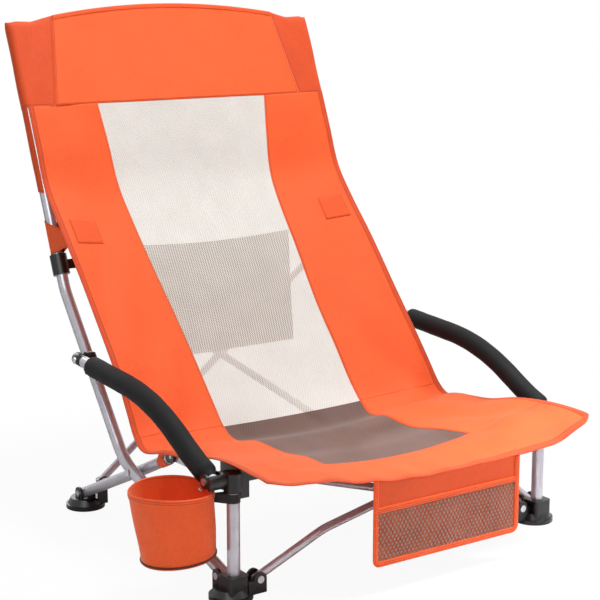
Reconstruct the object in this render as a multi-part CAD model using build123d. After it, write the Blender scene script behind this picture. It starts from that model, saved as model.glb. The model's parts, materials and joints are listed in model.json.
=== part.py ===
"""Folding camp chair: tube frame with front, rear and side scissors, sling seat, padded arms, cup holder.

Pieces are drawn with x across, y from the front posts to the back, z up, the floor at z = 0 and x = 0 midway
between the posts. The finished chair is then moved so that its origin is on the floor under the middle of its
outer box. The side with the cup holder, at negative x, is called left. All sizes are in millimetres.
"""
from build123d import *
import math
import os

os.makedirs("parts", exist_ok=True)

# Driving sizes of the frame
post_spacing = 590.0
tube_dia = 19.0
leg_dia = 18.0
cross_dia = 13.0
tube_wall = 1.2
cross_wall = 1.0
rivet_dia = 6.0
rivet_head_dia = 11.0
rivet_head_height = 1.8

# Clearances, and how far a cut runs past the piece it cuts
running_gap = 0.05
side_gap = 0.4
leg_gap = 0.6
hub_gap = 0.9
cap_gap = 0.7
swing_gap = 2.0
cut_over = 1.0

# Side linkage, as (y, z) points on the left and right sides
foot_pivot = (25.0, 30.0)
side_cross = (290.0, 116.0)
knuckle = (193.5, 162.0)
link_front = (38.0, 163.0)
rear_pivot = (492.0, 24.0)
post_bend_low_y = 318.0
post_bend_high = (508.0, 372.0)
post_top = (675.0, 790.0)
post_bend_radius = 90.0
post_tail = 8.0
pivot_tail = 6.0

# Front scissor
front_cross_inset = 34.0
front_cross_low_z = 28.0
front_cross_top_z = 184.9
front_cross_bend = (142.0, 77.0)
cross_bend_radius = 120.0
cross_half_gap = 0.5

# Rear scissor and the hub that slides on the back post
rear_cross_inset = 41.0
rear_ear = (483.4, 44.5)
rear_lug_radius = 8.0
rear_stem_half = 7.0
rear_stem_inset = 1.0
rear_hub_along = 42.0
rear_hub_length = 34.0
rear_hub_wall = 4.5
rear_hub_lug_radius = 9.0
rear_hub_arm_half = 8.0
rear_hub_travel = 44.0

# Feet
foot_dia = 65.0
foot_top_dia = 50.0
foot_rim = 7.0
foot_rim_step = 3.0
foot_height = 17.0
front_foot_y = 8.0
socket_side = 34.0
socket_corner = 6.0
socket_height = 38.0
ear_thickness = 4.0
ear_radius = 11.0

# Front post and the cap that carries the armrest in a clevis, with the clevis web's angles from +y towards +z
front_post_top = 178.0
front_post_seat = 10.0
cap_dia = 27.0
cap_bottom = 162.0
cap_top = 190.0
clevis_web_dia = 33.0
clevis_slot_dia = 26.4
clevis_web_angles = (140.0, 180.0, 222.0)

# Armrest, as (y, z) points
arm_gap = 1.0
foam_dia = 33.0
arm_pivot = (12.0, 180.0)
arm_low = (60.0, 199.0)
arm_high = (178.0, 262.0)
arm_rear = (407.0, 277.0)
arm_bend_radius = 120.0
foam_front_bare = 12.5
foam_rear_bare = 60.0
bracket_along = 175.0
bracket_length = 28.0
bracket_wall = 4.0
bracket_bite = 3.0
bracket_web_thickness = 5.0
bracket_web_half = 8.0

# Seat corner hub and side link
hub_bottom = 150.0
hub_top = 192.0
hub_back = 50.0
hub_solid_back = 24.0
link_thickness = 4.0
link_half_height = 7.0
link_eye_rise = 1.0
link_slot_gap = 0.5
cheek = 4.8
knuckle_dia = 19.0
knuckle_length = 26.0
knuckle_neck = 14.3
knuckle_neck_inset = 0.5

# Sling: cloth thickness, and how far in front of the back posts the headrest's face lies
cloth = 2.4
cloth_gap = 0.5
back_half_width = 300.0
headrest_stand_off = 12.9
headrest_height = 140.1
headrest_crown = 36.0
headrest_flare = 4.0
sleeve_wall = 2.4
sleeve_gap = 3.0
sleeve_open = 0.5
back_strap_low = 61.0
back_strap_length = 55.0
back_strap_tab = (0.1, 0.5)

# Pouch that hangs behind the back mesh, with the (y, z) of its lower edge
pouch_half_width = 147.0
pouch_low = (484.0, 235.0)
pouch_cloth = 1.6

# Front pocket
pocket_left = -128.0
pocket_right = 152.0
pocket_low = 43.0
pocket_hem = 9.0
pocket_band = 39.0
pocket_steps = 8

# Cup holder, hanging so that its bottom swings towards (x, y), and the strap that ties it to the post
cup_top_dia = 120.0
cup_bottom_dia = 106.0
cup_height = 102.0
cup_wall = 3.0
cup_post_gap = 13.0
cup_center_y = 50.0
cup_rim_z = 163.5
cup_swing = 10.0
cup_swing_toward = (0.82, -0.57)
cup_rim_tilt = 2.5
cup_bottom_tilt = 5.0
cup_strap_height = 14.0
cup_strap_gap = 2.0

# Values that follow from the driving sizes
post_x = post_spacing / 2
tube_r = tube_dia / 2
leg_r = leg_dia / 2
cross_r = cross_dia / 2
rivet_r = rivet_dia / 2
knuckle_r = knuckle_dia / 2
hole_r = rivet_r + running_gap
bore_r = tube_r + side_gap
leg_x = post_x - tube_r - leg_r - leg_gap
hub_outer_x = post_x - tube_r - hub_gap
link_x = hub_outer_x - cheek - link_slot_gap - link_thickness / 2
knuckle_outer_x = hub_outer_x - leg_gap
front_cross_x = post_x - front_cross_inset
rear_cross_x = post_x - rear_cross_inset
cross_offset = cross_r + cross_half_gap
arm_x = post_x + tube_r + arm_gap + foam_dia / 2
cup_center = (-(post_x + cup_post_gap + cup_top_dia / 2), cup_center_y)
cup_strap_low = cap_bottom - cup_strap_gap - cup_strap_height


def unit(a, b):
    """Unit vector from point a to point b in a plane."""
    length = math.dist(a, b)
    return ((b[0] - a[0]) / length, (b[1] - a[1]) / length)


def along(a, b, distance):
    """Point at a distance from a towards b in a plane."""
    d = unit(a, b)
    return (a[0] + d[0] * distance, a[1] + d[1] * distance)


low_slope = unit(foot_pivot, side_cross)
post_bend_low = (
    post_bend_low_y,
    foot_pivot[1] + (post_bend_low_y - foot_pivot[0]) * low_slope[1] / low_slope[0],
)
mid_dir = unit(post_bend_low, post_bend_high)
top_dir = unit(post_bend_high, post_top)
post_length = math.dist(post_bend_high, post_top)
headrest_low_along = post_length - headrest_height
sleeve_low_along = back_strap_low + back_strap_length + rear_hub_travel + sleeve_gap
rear_hub = along(post_bend_high, post_top, rear_hub_along)
bracket = along(post_bend_low, post_bend_high, bracket_along)


def bar(p, q, radius):
    """Round bar between two points."""
    start = Vector(*p)
    run = Vector(*q) - start
    return Plane(origin=start, z_dir=run) * Pos(0, 0, run.length / 2) * Cylinder(radius, run.length)


def block(x0, x1, y0, y1, z0, z1):
    """Box between two corners."""
    centre = Pos((x0 + x1) / 2, (y0 + y1) / 2, (z0 + z1) / 2)
    return centre * Box(abs(x1 - x0), abs(y1 - y0), abs(z1 - z0))


def side_plate(points, x0, x1):
    """Plate with an outline of (y, z) points between two x planes."""
    face = Plane.YZ.offset(x0) * make_face(Polyline(*points, close=True))
    return extrude(face, x1 - x0)


def tube_run(points, radius, wall, bend):
    """Tube along points joined by arcs of one bend radius."""
    path = FilletPolyline(*points, radius=bend)
    start = Plane(origin=path @ 0, z_dir=path % 0)
    ring = start * (Circle(radius) - Circle(radius - wall))
    return sweep(ring, path)


def rivet(p, q, head_at_p=True, head_at_q=True):
    """Rivet shank between two points, with flat round heads outside them."""
    start = Vector(*p)
    end = Vector(*q)
    out = (end - start).normalized() * rivet_head_height
    body = bar(start, end, rivet_r)
    if head_at_p:
        body += bar(start - out, start, rivet_head_dia / 2)
    if head_at_q:
        body += bar(end, end + out, rivet_head_dia / 2)
    return body


parts = {}


def add(name, solid):
    """Keep a finished piece under its node name."""
    solid = solid if isinstance(solid, list) else [solid]
    parts[name] = solid


def foot_base(side, x, y):
    """Flared round foot with a step, standing on the floor."""
    rim = Pos(side * x, y, foot_rim / 2) * Cylinder(foot_dia / 2, foot_rim)
    flare = Pos(side * x, y, (foot_rim + foot_height) / 2) * Cone(
        foot_dia / 2 - foot_rim_step, foot_top_dia / 2, foot_height - foot_rim
    )
    return rim + flare


def front_foot(side):
    """Front foot with a boxy socket, ears for the back post and a lug for a cross tube, and its pins."""
    foot = foot_base(side, post_x, front_foot_y)
    half = socket_side / 2
    socket = block(side * (post_x - half), side * (post_x + half), -half, half, foot_rim, socket_height)
    foot += fillet(socket.edges().filter_by(Axis.Z), socket_corner)
    inner = post_x - tube_r - side_gap
    outer = post_x + tube_r + side_gap
    py, pz = foot_pivot
    for x0, x1 in ((inner - ear_thickness, inner), (outer, outer + ear_thickness)):
        web = block(side * x0, side * x1, 0, py + ear_radius, foot_rim, pz)
        foot += web + bar((side * x0, py, pz), (side * x1, py, pz), ear_radius)
    above = max(socket_height, pz + ear_radius) + cut_over
    slot_front = tube_r + tube_wall + side_gap
    foot -= block(side * inner, side * outer, slot_front, py + foot_dia, pz - tube_r - swing_gap, above)
    fx = front_cross_x
    y_cross = cross_offset * side
    cross_face = cross_r + side_gap
    lug_faces = (y_cross - cross_face, y_cross + cross_face)
    web_out = side * (inner - ear_thickness)
    lug_ends = ((lug_faces[0] - ear_thickness, lug_faces[0]), (lug_faces[1], lug_faces[1] + ear_thickness))
    for y0, y1 in lug_ends:
        lug = block(side * (fx - ear_radius), web_out, y0, y1, foot_rim, front_cross_low_z)
        lug += bar((side * fx, y0, front_cross_low_z), (side * fx, y1, front_cross_low_z), ear_radius)
        foot += lug
    slot_low = front_cross_low_z - cross_r - swing_gap
    slot_outer = side * (fx + cross_r + swing_gap)
    foot -= block(side * (fx - foot_dia), slot_outer, *lug_faces, slot_low, above)
    foot -= bar((side * post_x, 0, front_post_seat), (side * post_x, 0, above), tube_r)
    cross_pin = (
        (side * fx, lug_faces[0] - ear_thickness, front_cross_low_z),
        (side * fx, lug_faces[1] + ear_thickness, front_cross_low_z),
    )
    post_pin = ((side * (inner - ear_thickness), py, pz), (side * (outer + ear_thickness), py, pz))
    foot -= bar(*cross_pin, rivet_r)
    foot -= bar(*post_pin, rivet_r)
    return foot, cross_pin, post_pin


def front_post_cap(side):
    """Cap on a front post with a clevis for the armrest's front end; also the armrest's pin."""
    qy, qz = arm_pivot
    slot_in = arm_x - tube_r - side_gap
    slot_out = arm_x + tube_r + side_gap
    clevis_out = slot_out + ear_thickness
    cap = bar((side * post_x, 0, cap_bottom), (side * post_x, 0, cap_top), cap_dia / 2)
    cap += bar((side * post_x, qy, qz), (side * clevis_out, qy, qz), ear_radius)
    wedge = [arm_pivot]
    for angle in clevis_web_angles:
        wedge.append((
            qy + clevis_web_dia * math.cos(math.radians(angle)),
            qz + clevis_web_dia * math.sin(math.radians(angle)),
        ))
    web = bar((side * post_x, qy, qz), (side * clevis_out, qy, qz), clevis_web_dia / 2)
    cap += web & side_plate(wedge, side * post_x, side * clevis_out)
    cap -= bar((side * slot_in, qy, qz), (side * slot_out, qy, qz), clevis_slot_dia / 2)
    flat = side * (hub_outer_x + cap_gap)
    cap -= block(0, flat, -cap_dia, cap_dia, cap_bottom - cut_over, cap_top + cut_over)
    cap -= bar((side * post_x, 0, cap_bottom - cut_over), (side * post_x, 0, front_post_top), tube_r)
    arm_pin = ((side * (post_x + tube_r), qy, qz), (side * clevis_out, qy, qz))
    cap -= bar(*arm_pin, rivet_r)
    return cap, arm_pin


def front_leg(side, name):
    """Foot, post, post cap and rivets of one front leg."""
    foot, cross_pin, post_pin = front_foot(side)
    cap, arm_pin = front_post_cap(side)
    x = side * post_x
    post = bar((x, 0, front_post_seat), (x, 0, front_post_top), tube_r)
    post -= bar((x, 0, front_post_seat - cut_over), (x, 0, front_post_top + cut_over), tube_r - tube_wall)
    add(f"front_foot_{name}", foot)
    add(f"front_post_{name}", post)
    add(f"front_post_cap_{name}", cap)
    rivets = [rivet(*cross_pin), rivet(*post_pin), rivet(*arm_pin, head_at_p=False)]
    add(f"front_leg_rivets_{name}", rivets)


def back_post(side, name):
    """Bent back post and the rivet of the side scissor."""
    x = side * post_x
    start = along(foot_pivot, side_cross, -post_tail)
    points = [(x, *start), (x, *post_bend_low), (x, *post_bend_high), (x, *post_top)]
    post = tube_run(points, tube_r, tube_wall, post_bend_radius)
    post -= bar((side * (post_x - tube_dia), *foot_pivot), (side * (post_x + tube_dia), *foot_pivot), hole_r)
    pin = ((side * (post_x + tube_r), *side_cross), (side * (leg_x - leg_r - side_gap), *side_cross))
    post -= bar((side * (post_x - tube_dia), *side_cross), pin[0], rivet_r)
    add(f"back_post_{name}", post)
    add(f"back_post_rivet_{name}", rivet(*pin))


def rear_leg(side, name):
    """Rear leg tube of the side scissor and the slotted knuckle on its front end."""
    x = side * leg_x
    tube_front = along(knuckle, side_cross, knuckle_neck)
    tube_back = along(rear_pivot, side_cross, -pivot_tail)
    leg = bar((x, *tube_front), (x, *side_cross), leg_r) + bar((x, *side_cross), (x, *tube_back), leg_r)
    leg += Pos(x, *side_cross) * Sphere(leg_r)
    bore = bar((x, *tube_front), (x, *side_cross), leg_r - tube_wall)
    bore += bar((x, *side_cross), (x, *tube_back), leg_r - tube_wall)
    leg -= bore
    for point in (side_cross, rear_pivot):
        leg -= bar((x - leg_dia, *point), (x + leg_dia, *point), hole_r)
    add(f"rear_leg_{name}", leg)

    joint = bar((side * knuckle_outer_x, *knuckle), (side * (leg_x - leg_r), *knuckle), knuckle_r)
    joint += bar((x, *knuckle), (x, *tube_front), leg_r - knuckle_neck_inset)
    plug_end = along(knuckle, side_cross, knuckle_length)
    joint += bar((x, *tube_front), (x, *plug_end), leg_r - tube_wall)
    slot = link_thickness / 2 + link_slot_gap
    clear = knuckle_r + swing_gap
    joint -= bar((side * (link_x - slot), *knuckle), (side * (link_x + slot), *knuckle), clear)
    joint -= bar((x - leg_dia, *knuckle), (x + leg_dia, *knuckle), hole_r)
    keep = block(0, side * knuckle_outer_x, 0, post_spacing, 0, post_spacing)
    add(f"rear_leg_knuckle_{name}", joint & keep)


def side_link(side, name):
    """Flat link from the rear leg's knuckle to the seat corner hub, with its rivets."""
    x0 = side * (link_x - link_thickness / 2)
    x1 = side * (link_x + link_thickness / 2)
    eye_r = link_half_height + link_eye_rise
    body = bar((x0, *knuckle), (x1, *knuckle), eye_r) + bar((x0, *link_front), (x1, *link_front), eye_r)
    d = unit(knuckle, link_front)
    n = (-d[1] * link_half_height, d[0] * link_half_height)
    outline = [
        (knuckle[0] + n[0], knuckle[1] + n[1]), (link_front[0] + n[0], link_front[1] + n[1]),
        (link_front[0] - n[0], link_front[1] - n[1]), (knuckle[0] - n[0], knuckle[1] - n[1]),
    ]
    body += side_plate(outline, x0, x1)
    for point in (knuckle, link_front):
        body -= bar((x0 - side * cut_over, *point), (x1 + side * cut_over, *point), rivet_r)
    add(f"side_link_{name}", body)
    pin_in = (side * (leg_x - leg_r - side_gap), *knuckle)
    pin_out = (side * knuckle_outer_x, *knuckle)
    add(f"side_link_rivets_{name}", [
        rivet(pin_out, pin_in, head_at_p=False),
        bar((x0, *link_front), (x1, *link_front), rivet_r),
    ])


def seat_hub(side, name):
    """Seat corner hub: jaw for a front cross tube and cheeks for the side link."""
    y_cross = -cross_offset * side
    cross_face = cross_r + side_gap
    front = y_cross - cross_face - ear_thickness
    outer = hub_outer_x
    inner = outer - 2 * cheek - link_thickness - 2 * link_slot_gap
    hub = block(side * inner, side * outer, front, hub_solid_back, hub_bottom, hub_top)
    link_slot = (link_x - link_thickness / 2 - link_slot_gap, link_x + link_thickness / 2 + link_slot_gap)
    for x0, x1 in ((inner, link_slot[0]), (link_slot[1], outer)):
        hub += block(side * x0, side * x1, hub_solid_back, hub_back, hub_bottom, hub_top)
    jaw_low = front_cross_top_z - ear_radius
    jaw_in = front_cross_x - ear_radius
    jaw_back = y_cross + cross_face
    for y0, y1 in ((front, front + ear_thickness), (jaw_back, jaw_back + ear_thickness)):
        hub += block(side * jaw_in, side * inner, y0, y1, jaw_low, hub_top)
    pin = (
        (side * front_cross_x, front, front_cross_top_z),
        (side * front_cross_x, jaw_back + ear_thickness, front_cross_top_z),
    )
    slot_outer = side * (front_cross_x + cross_r + swing_gap)
    hub -= block(
        side * jaw_in, slot_outer, y_cross - cross_face, jaw_back, hub_bottom - cut_over, hub_top + cut_over
    )
    hub -= bar(*pin, rivet_r)
    add(f"seat_corner_hub_{name}", hub)
    head_in = side * (inner - rivet_head_height)
    head = bar((head_in, *link_front), (side * inner, *link_front), rivet_head_dia / 2)
    add(f"seat_hub_rivets_{name}", [rivet(*pin), head])


def front_cross(side, name):
    """One bent tube of the front scissor, from one front foot to the opposite seat hub."""
    y = cross_offset * side
    low = (front_cross_x, front_cross_low_z)
    top = (-front_cross_x, front_cross_top_z)
    middle = (0.0, (low[1] + top[1]) / 2)
    start = along(low, front_cross_bend, -pivot_tail)
    end = along(top, middle, -pivot_tail)
    points = [(side * p[0], y, p[1]) for p in (start, front_cross_bend, middle, end)]
    tube = tube_run(points, cross_r, cross_wall, cross_bend_radius)
    for px, pz in (low, top):
        tube -= bar((side * px, y - cross_dia, pz), (side * px, y + cross_dia, pz), hole_r)
    middle_r = rivet_r if side < 0 else hole_r
    tube -= bar((0, y - cross_dia, middle[1]), (0, y + cross_dia, middle[1]), middle_r)
    add(f"front_cross_tube_{name}", tube)
    if side < 0:
        face = cross_offset + cross_r
        add("front_cross_rivet", rivet((0, -face, middle[1]), (0, face + side_gap, middle[1])))


rear_up = unit(rear_ear, rear_hub)
rear_normal = (rear_up[1], -rear_up[0])
rear_height = math.dist(rear_ear, rear_hub)


def rear_point(side, inboard_x, height, offset):
    """Point of the rear scissor's slanted plane: height along it, offset towards the back."""
    y = rear_ear[0] + rear_up[0] * height + rear_normal[0] * offset
    z = rear_ear[1] + rear_up[1] * height + rear_normal[1] * offset
    return (side * inboard_x, y, z)


def rear_foot(side, name):
    """Rear foot with ears for the rear leg, a lug for a rear cross tube, and their rivets."""
    ry, rz = rear_pivot
    foot = foot_base(side, leg_x, ry)
    inner = leg_x - leg_r - side_gap
    outer = leg_x + leg_r + side_gap
    for x0, x1 in ((inner - ear_thickness, inner), (outer, outer + ear_thickness)):
        web = block(side * x0, side * x1, ry - ear_radius, ry + ear_radius, foot_rim, rz)
        foot += web + bar((side * x0, ry, rz), (side * x1, ry, rz), ear_radius)
    clear_r = math.hypot(leg_r, pivot_tail) + cut_over
    foot -= bar((side * inner, ry, rz), (side * outer, ry, rz), clear_r)
    foot -= block(side * inner, side * outer, ry - foot_dia, ry, rz - leg_r - cut_over, rz + foot_dia)
    foot -= block(side * inner, side * outer, ry - clear_r, ry + clear_r, rz, rz + foot_dia)
    pin = ((side * (inner - ear_thickness), ry, rz), (side * (outer + ear_thickness), ry, rz))
    foot -= bar(*pin, rivet_r)
    offset = cross_offset * side
    lug_back = offset - cross_r - side_gap
    lug_front = lug_back - ear_thickness
    lug_ends = (rear_point(side, rear_cross_x, 0, lug_front), rear_point(side, rear_cross_x, 0, lug_back))
    lug = bar(*lug_ends, rear_lug_radius)
    stem_in = side * (rear_cross_x - rear_stem_half)
    stem_out = side * (inner - cut_over)
    y0 = lug_ends[0][1] + rear_stem_inset
    y1 = lug_ends[1][1] - rear_stem_inset
    lug += block(stem_in, stem_out, y0, y1, foot_rim, rear_ear[1] - rivet_r)
    foot += lug
    ear_pin = (lug_ends[0], rear_point(side, rear_cross_x, 0, offset + cross_r + side_gap))
    foot -= bar(*ear_pin, rivet_r)
    add(f"rear_foot_{name}", foot)
    add(f"rear_foot_rivets_{name}", [rivet(*pin), rivet(*ear_pin)])


def rear_cross(side, name):
    """One tube of the rear scissor, from one rear foot to the opposite rear hub."""
    offset = cross_offset * side
    run = math.hypot(2 * rear_cross_x, rear_height)
    dx = 2 * rear_cross_x / run
    dz = rear_height / run
    start = rear_point(side, rear_cross_x + dx * pivot_tail, -dz * pivot_tail, offset)
    end = rear_point(side, -rear_cross_x - dx * pivot_tail, rear_height + dz * pivot_tail, offset)
    tube = bar(start, end, cross_r) - bar(start, end, cross_r - cross_wall)
    low = (
        rear_point(side, rear_cross_x, 0, offset - cross_dia),
        rear_point(side, rear_cross_x, 0, offset + cross_dia),
    )
    tube -= bar(*low, hole_r)
    top = (
        rear_point(side, -rear_cross_x, rear_height, offset - cross_r),
        rear_point(side, -rear_cross_x, rear_height, offset + cross_r),
    )
    tube -= bar(*top, rivet_r)
    middle = (
        rear_point(side, 0, rear_height / 2, offset - side * cross_r),
        rear_point(side, 0, rear_height / 2, offset + side * cross_r),
    )
    tube -= bar(*middle, rivet_r)
    add(f"rear_cross_tube_{name}", tube)
    rivets = [rivet(*top, head_at_p=False), rivet(*middle, head_at_p=False)]
    add(f"rear_cross_rivets_{name}", rivets)


def rear_cross_hub(side, name):
    """Collar that slides on the back post and carries the upper end of a rear cross tube."""
    x = side * post_x
    half = rear_hub_length / 2
    low = along(rear_hub, post_top, -half)
    high = along(rear_hub, post_top, half)
    hub = bar((x, *low), (x, *high), tube_r + rear_hub_wall)
    lug_back = -cross_offset * side - cross_r - side_gap
    lug_front = lug_back - ear_thickness
    lug_ends = (
        rear_point(side, rear_cross_x, rear_height, lug_front),
        rear_point(side, rear_cross_x, rear_height, lug_back),
    )
    hub += bar(*lug_ends, rear_hub_lug_radius)
    arm_low_height = rear_height - rear_hub_arm_half
    arm_high_height = rear_height + rear_hub_arm_half
    arm = [
        rear_point(side, rear_cross_x, arm_low_height, lug_front)[1:],
        rear_point(side, rear_cross_x, arm_high_height, lug_front)[1:],
        rear_point(side, rear_cross_x, arm_high_height, lug_back)[1:],
        rear_point(side, rear_cross_x, arm_low_height, lug_back)[1:],
    ]
    hub += side_plate(arm, side * rear_cross_x, side * (post_x - rivet_r))
    bore_low = along(rear_hub, post_top, -half - cut_over)
    bore_high = along(rear_hub, post_top, half + cut_over)
    hub -= bar((x, *bore_low), (x, *bore_high), tube_r + running_gap)
    add(f"rear_cross_hub_{name}", hub)


def armrest(side, name):
    """Bent arm tube, its foam sleeve, the sliding bracket and the rear rivet."""
    x = side * arm_x
    start = along(arm_pivot, arm_low, -post_tail)
    end = along(arm_rear, arm_high, -post_tail)
    points = [(x, *p) for p in (start, arm_low, arm_high, end)]
    tube = tube_run(points, tube_r, tube_wall, arm_bend_radius)
    tube -= bar((x - tube_dia, *arm_pivot), (x + tube_dia, *arm_pivot), hole_r)
    rear_pin = ((side * (arm_x - tube_r), *arm_rear), (side * (arm_x + tube_r), *arm_rear))
    tube -= bar(*rear_pin, rivet_r)
    add(f"armrest_tube_{name}", tube)
    add(f"armrest_rivet_{name}", rivet(*rear_pin, head_at_p=False))
    foam_start = along(arm_pivot, arm_low, foam_front_bare)
    foam_end = along(arm_rear, arm_high, foam_rear_bare)
    foam_points = [(x, *p) for p in (foam_start, arm_low, arm_high, foam_end)]
    foam = tube_run(foam_points, foam_dia / 2, foam_dia / 2 - tube_r, arm_bend_radius)
    add(f"armrest_foam_{name}", foam)

    px = side * post_x
    half = bracket_length / 2
    low = along(bracket, post_bend_high, -half)
    high = along(bracket, post_bend_high, half)
    clamp = bar((px, *low), (px, *high), tube_r + bracket_wall)
    plate_in = post_x + tube_r - bracket_bite
    plate_out = arm_x - tube_r - side_gap
    clamp += bar((side * plate_in, *arm_rear), (side * plate_out, *arm_rear), ear_radius)
    web_y = arm_rear[0] - mid_dir[1] * bracket_wall
    web_z = arm_rear[1] + mid_dir[0] * bracket_wall
    web_dy = mid_dir[0] * bracket_web_half
    web_dz = mid_dir[1] * bracket_web_half
    web = [low, high, (web_y + web_dy, web_z + web_dz), (web_y - web_dy, web_z - web_dz)]
    clamp += side_plate(web, side * plate_in, side * (plate_in + bracket_web_thickness))
    bore_low = along(bracket, post_bend_high, -bracket_length)
    bore_high = along(bracket, post_bend_high, bracket_length)
    clamp -= bar((px, *bore_low), (px, *bore_high), tube_r + running_gap)
    add(f"armrest_bracket_{name}", clamp)


for side, name in ((-1, "left"), (1, "right")):
    front_leg(side, name)
    back_post(side, name)
    rear_leg(side, name)
    side_link(side, name)
    seat_hub(side, name)
    front_cross(side, name)
    rear_foot(side, name)
    rear_cross(side, name)
    rear_cross_hub(side, name)
    armrest(side, name)


def on_post(distance, stand_off):
    """Point in front of the upper back post, at a distance above its high bend."""
    y, z = along(post_bend_high, post_top, distance)
    return (y - top_dir[1] * stand_off, z + top_dir[0] * stand_off)


# Sling stations from the headrest down the back and along the seat to the front edge.
# Each is the edge's (y, z), the half width, the sag in the middle, the sag's power, the pocket's pull
# and the share of the half width that the mesh covers. The first and last directions come from lead points.
back_stations = [
    (*on_post(headrest_low_along, headrest_stand_off), back_half_width, 0.0, 1.6, 0.0, 0.57),
    (*on_post(headrest_low_along * 0.774, headrest_stand_off), back_half_width, 12.0, 1.6, 0.0, 0.54),
    (*on_post(headrest_low_along * 0.548, headrest_stand_off), back_half_width, 22.0, 1.6, 0.0, 0.52),
    (515.0, 480.0, back_half_width - 1.0, 30.0, 1.6, 0.0, 0.507),
    (455.0, 415.0, back_half_width - 1.0, 34.0, 1.3, 0.0, 0.493),
    (385.0, 332.0, back_half_width - 1.0, 34.0, 1.3, 0.0, 0.470),
    (330.0, 266.0, back_half_width, 30.0, 1.3, 0.0, 0.462),
    (290.0, 212.0, back_half_width + 3.0, 24.0, 1.3, 0.0, 0.452),
    (264.0, 177.0, back_half_width + 5.0, 16.0, 1.3, 0.0, 0.450),
]
seat_stations = [
    (238.0, 164.5, back_half_width + 5.0, 16.0, 1.6, 0.0, 0.440),
    (192.0, 177.0, back_half_width, 22.0, 2.0, 0.0, 0.425),
    (120.0, 182.0, back_half_width - 4.0, 28.0, 2.0, 0.0, 0.420),
    (55.0, 197.0, back_half_width - 5.0, 34.0, 2.0, 0.0, 0.435),
    (-5.0, 204.0, back_half_width, 37.0, 2.0, 0.0, 0.452),
]
front_stations = [
    (-58.0, 205.0, back_half_width + 3.0, 38.0, 2.0, 0.0, 0.0),
    (-112.0, 203.0, back_half_width, 38.0, 1.5, 1.0, 0.0),
]
top_lead = on_post(post_length, headrest_stand_off)
front_lead = (-150.0, 196.0)


def sling_frame(stations, before, after):
    """Stations with the unit normal of the sling's underside at each."""
    edge = [before] + [s[:2] for s in stations] + [after]
    framed = []
    for i, s in enumerate(stations):
        ty, tz = unit(edge[i], edge[i + 2])
        framed.append((s, (-tz, ty)))
    return framed


back_frame = sling_frame(back_stations, top_lead, seat_stations[0][:2])
seat_start = (*along(back_stations[-1][:2], seat_stations[0][:2], cloth_gap), *back_stations[-1][2:])
seat_frame = sling_frame([seat_start] + seat_stations + front_stations, back_stations[-2][:2], front_lead)
seat_frame[0] = (seat_start, back_frame[-1][1])


def drop(station, u):
    """Sag of the sling at a share u of the half width."""
    even = (1 - u * u) ** station[4]
    pulled = 1 - u ** 6 if u > 0 else even
    return station[3] * ((1 - station[5]) * even + station[5] * pulled)


def sling_section(framed, u0, u1, depth, thickness, steps):
    """Closed face across the sling between two shares of the half width."""
    station, n = framed
    shares = [u0 + (u1 - u0) * i / steps for i in range(steps + 1)]
    rows = []
    for down in (depth, depth + thickness):
        row = []
        for u in shares:
            fall = drop(station, u) + down
            row.append((u * station[2], station[0] + n[0] * fall, station[1] + n[1] * fall))
        rows.append(row)
    return make_face(Polyline(*rows[0], *reversed(rows[1]), close=True))


mesh_steps = 8
side_steps = 5
front_steps = 16


def sling_panel(frames, limits, steps):
    """Sling panel lofted through stations, with a pair of width shares at each."""
    faces = [sling_section(f, a, b, 0.0, cloth, steps) for f, (a, b) in zip(frames, limits)]
    return loft(faces, ruled=True)


def sling():
    """Mesh and side panels of the back and the seat, and the seat's front panel."""
    seat_rows = seat_frame[: len(seat_stations) + 1]
    front_rows = seat_frame[len(seat_stations):]
    for place, rows in (("back", back_frame), ("seat", seat_rows)):
        mesh = [f[0][6] for f in rows]
        add(f"{place}_mesh", sling_panel(rows, [(-m, m) for m in mesh], mesh_steps))
        for side, name in ((-1, "left"), (1, "right")):
            limits = [(side * m, side) for m in mesh]
            add(f"{place}_side_panel_{name}", sling_panel(rows, limits, side_steps))
    add("seat_front_panel", sling_panel(front_rows, [(-1, 1)] * len(front_rows), front_steps))


def rear_pocket():
    """Pouch from a seam across the back mesh, midway between two stations, down to its free lower edge."""
    upper, upper_n = back_frame[3]
    lower, lower_n = back_frame[4]
    seam = tuple((a + b) / 2 for a, b in zip(upper, lower))
    n = unit((0, 0), (upper_n[0] + lower_n[0], upper_n[1] + lower_n[1]))
    top = sling_section((seam, n), -seam[6], seam[6], cloth + cloth_gap, pouch_cloth, mesh_steps)
    y, z = pouch_low
    across = [pouch_half_width * (2 * i / mesh_steps - 1) for i in range(mesh_steps + 1)]
    front = [(x, y, z) for x in across]
    back = [(x, y + pouch_cloth, z) for x in reversed(across)]
    add("rear_pocket", loft([top, make_face(Polyline(*front, *back, close=True))], ruled=True))


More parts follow.
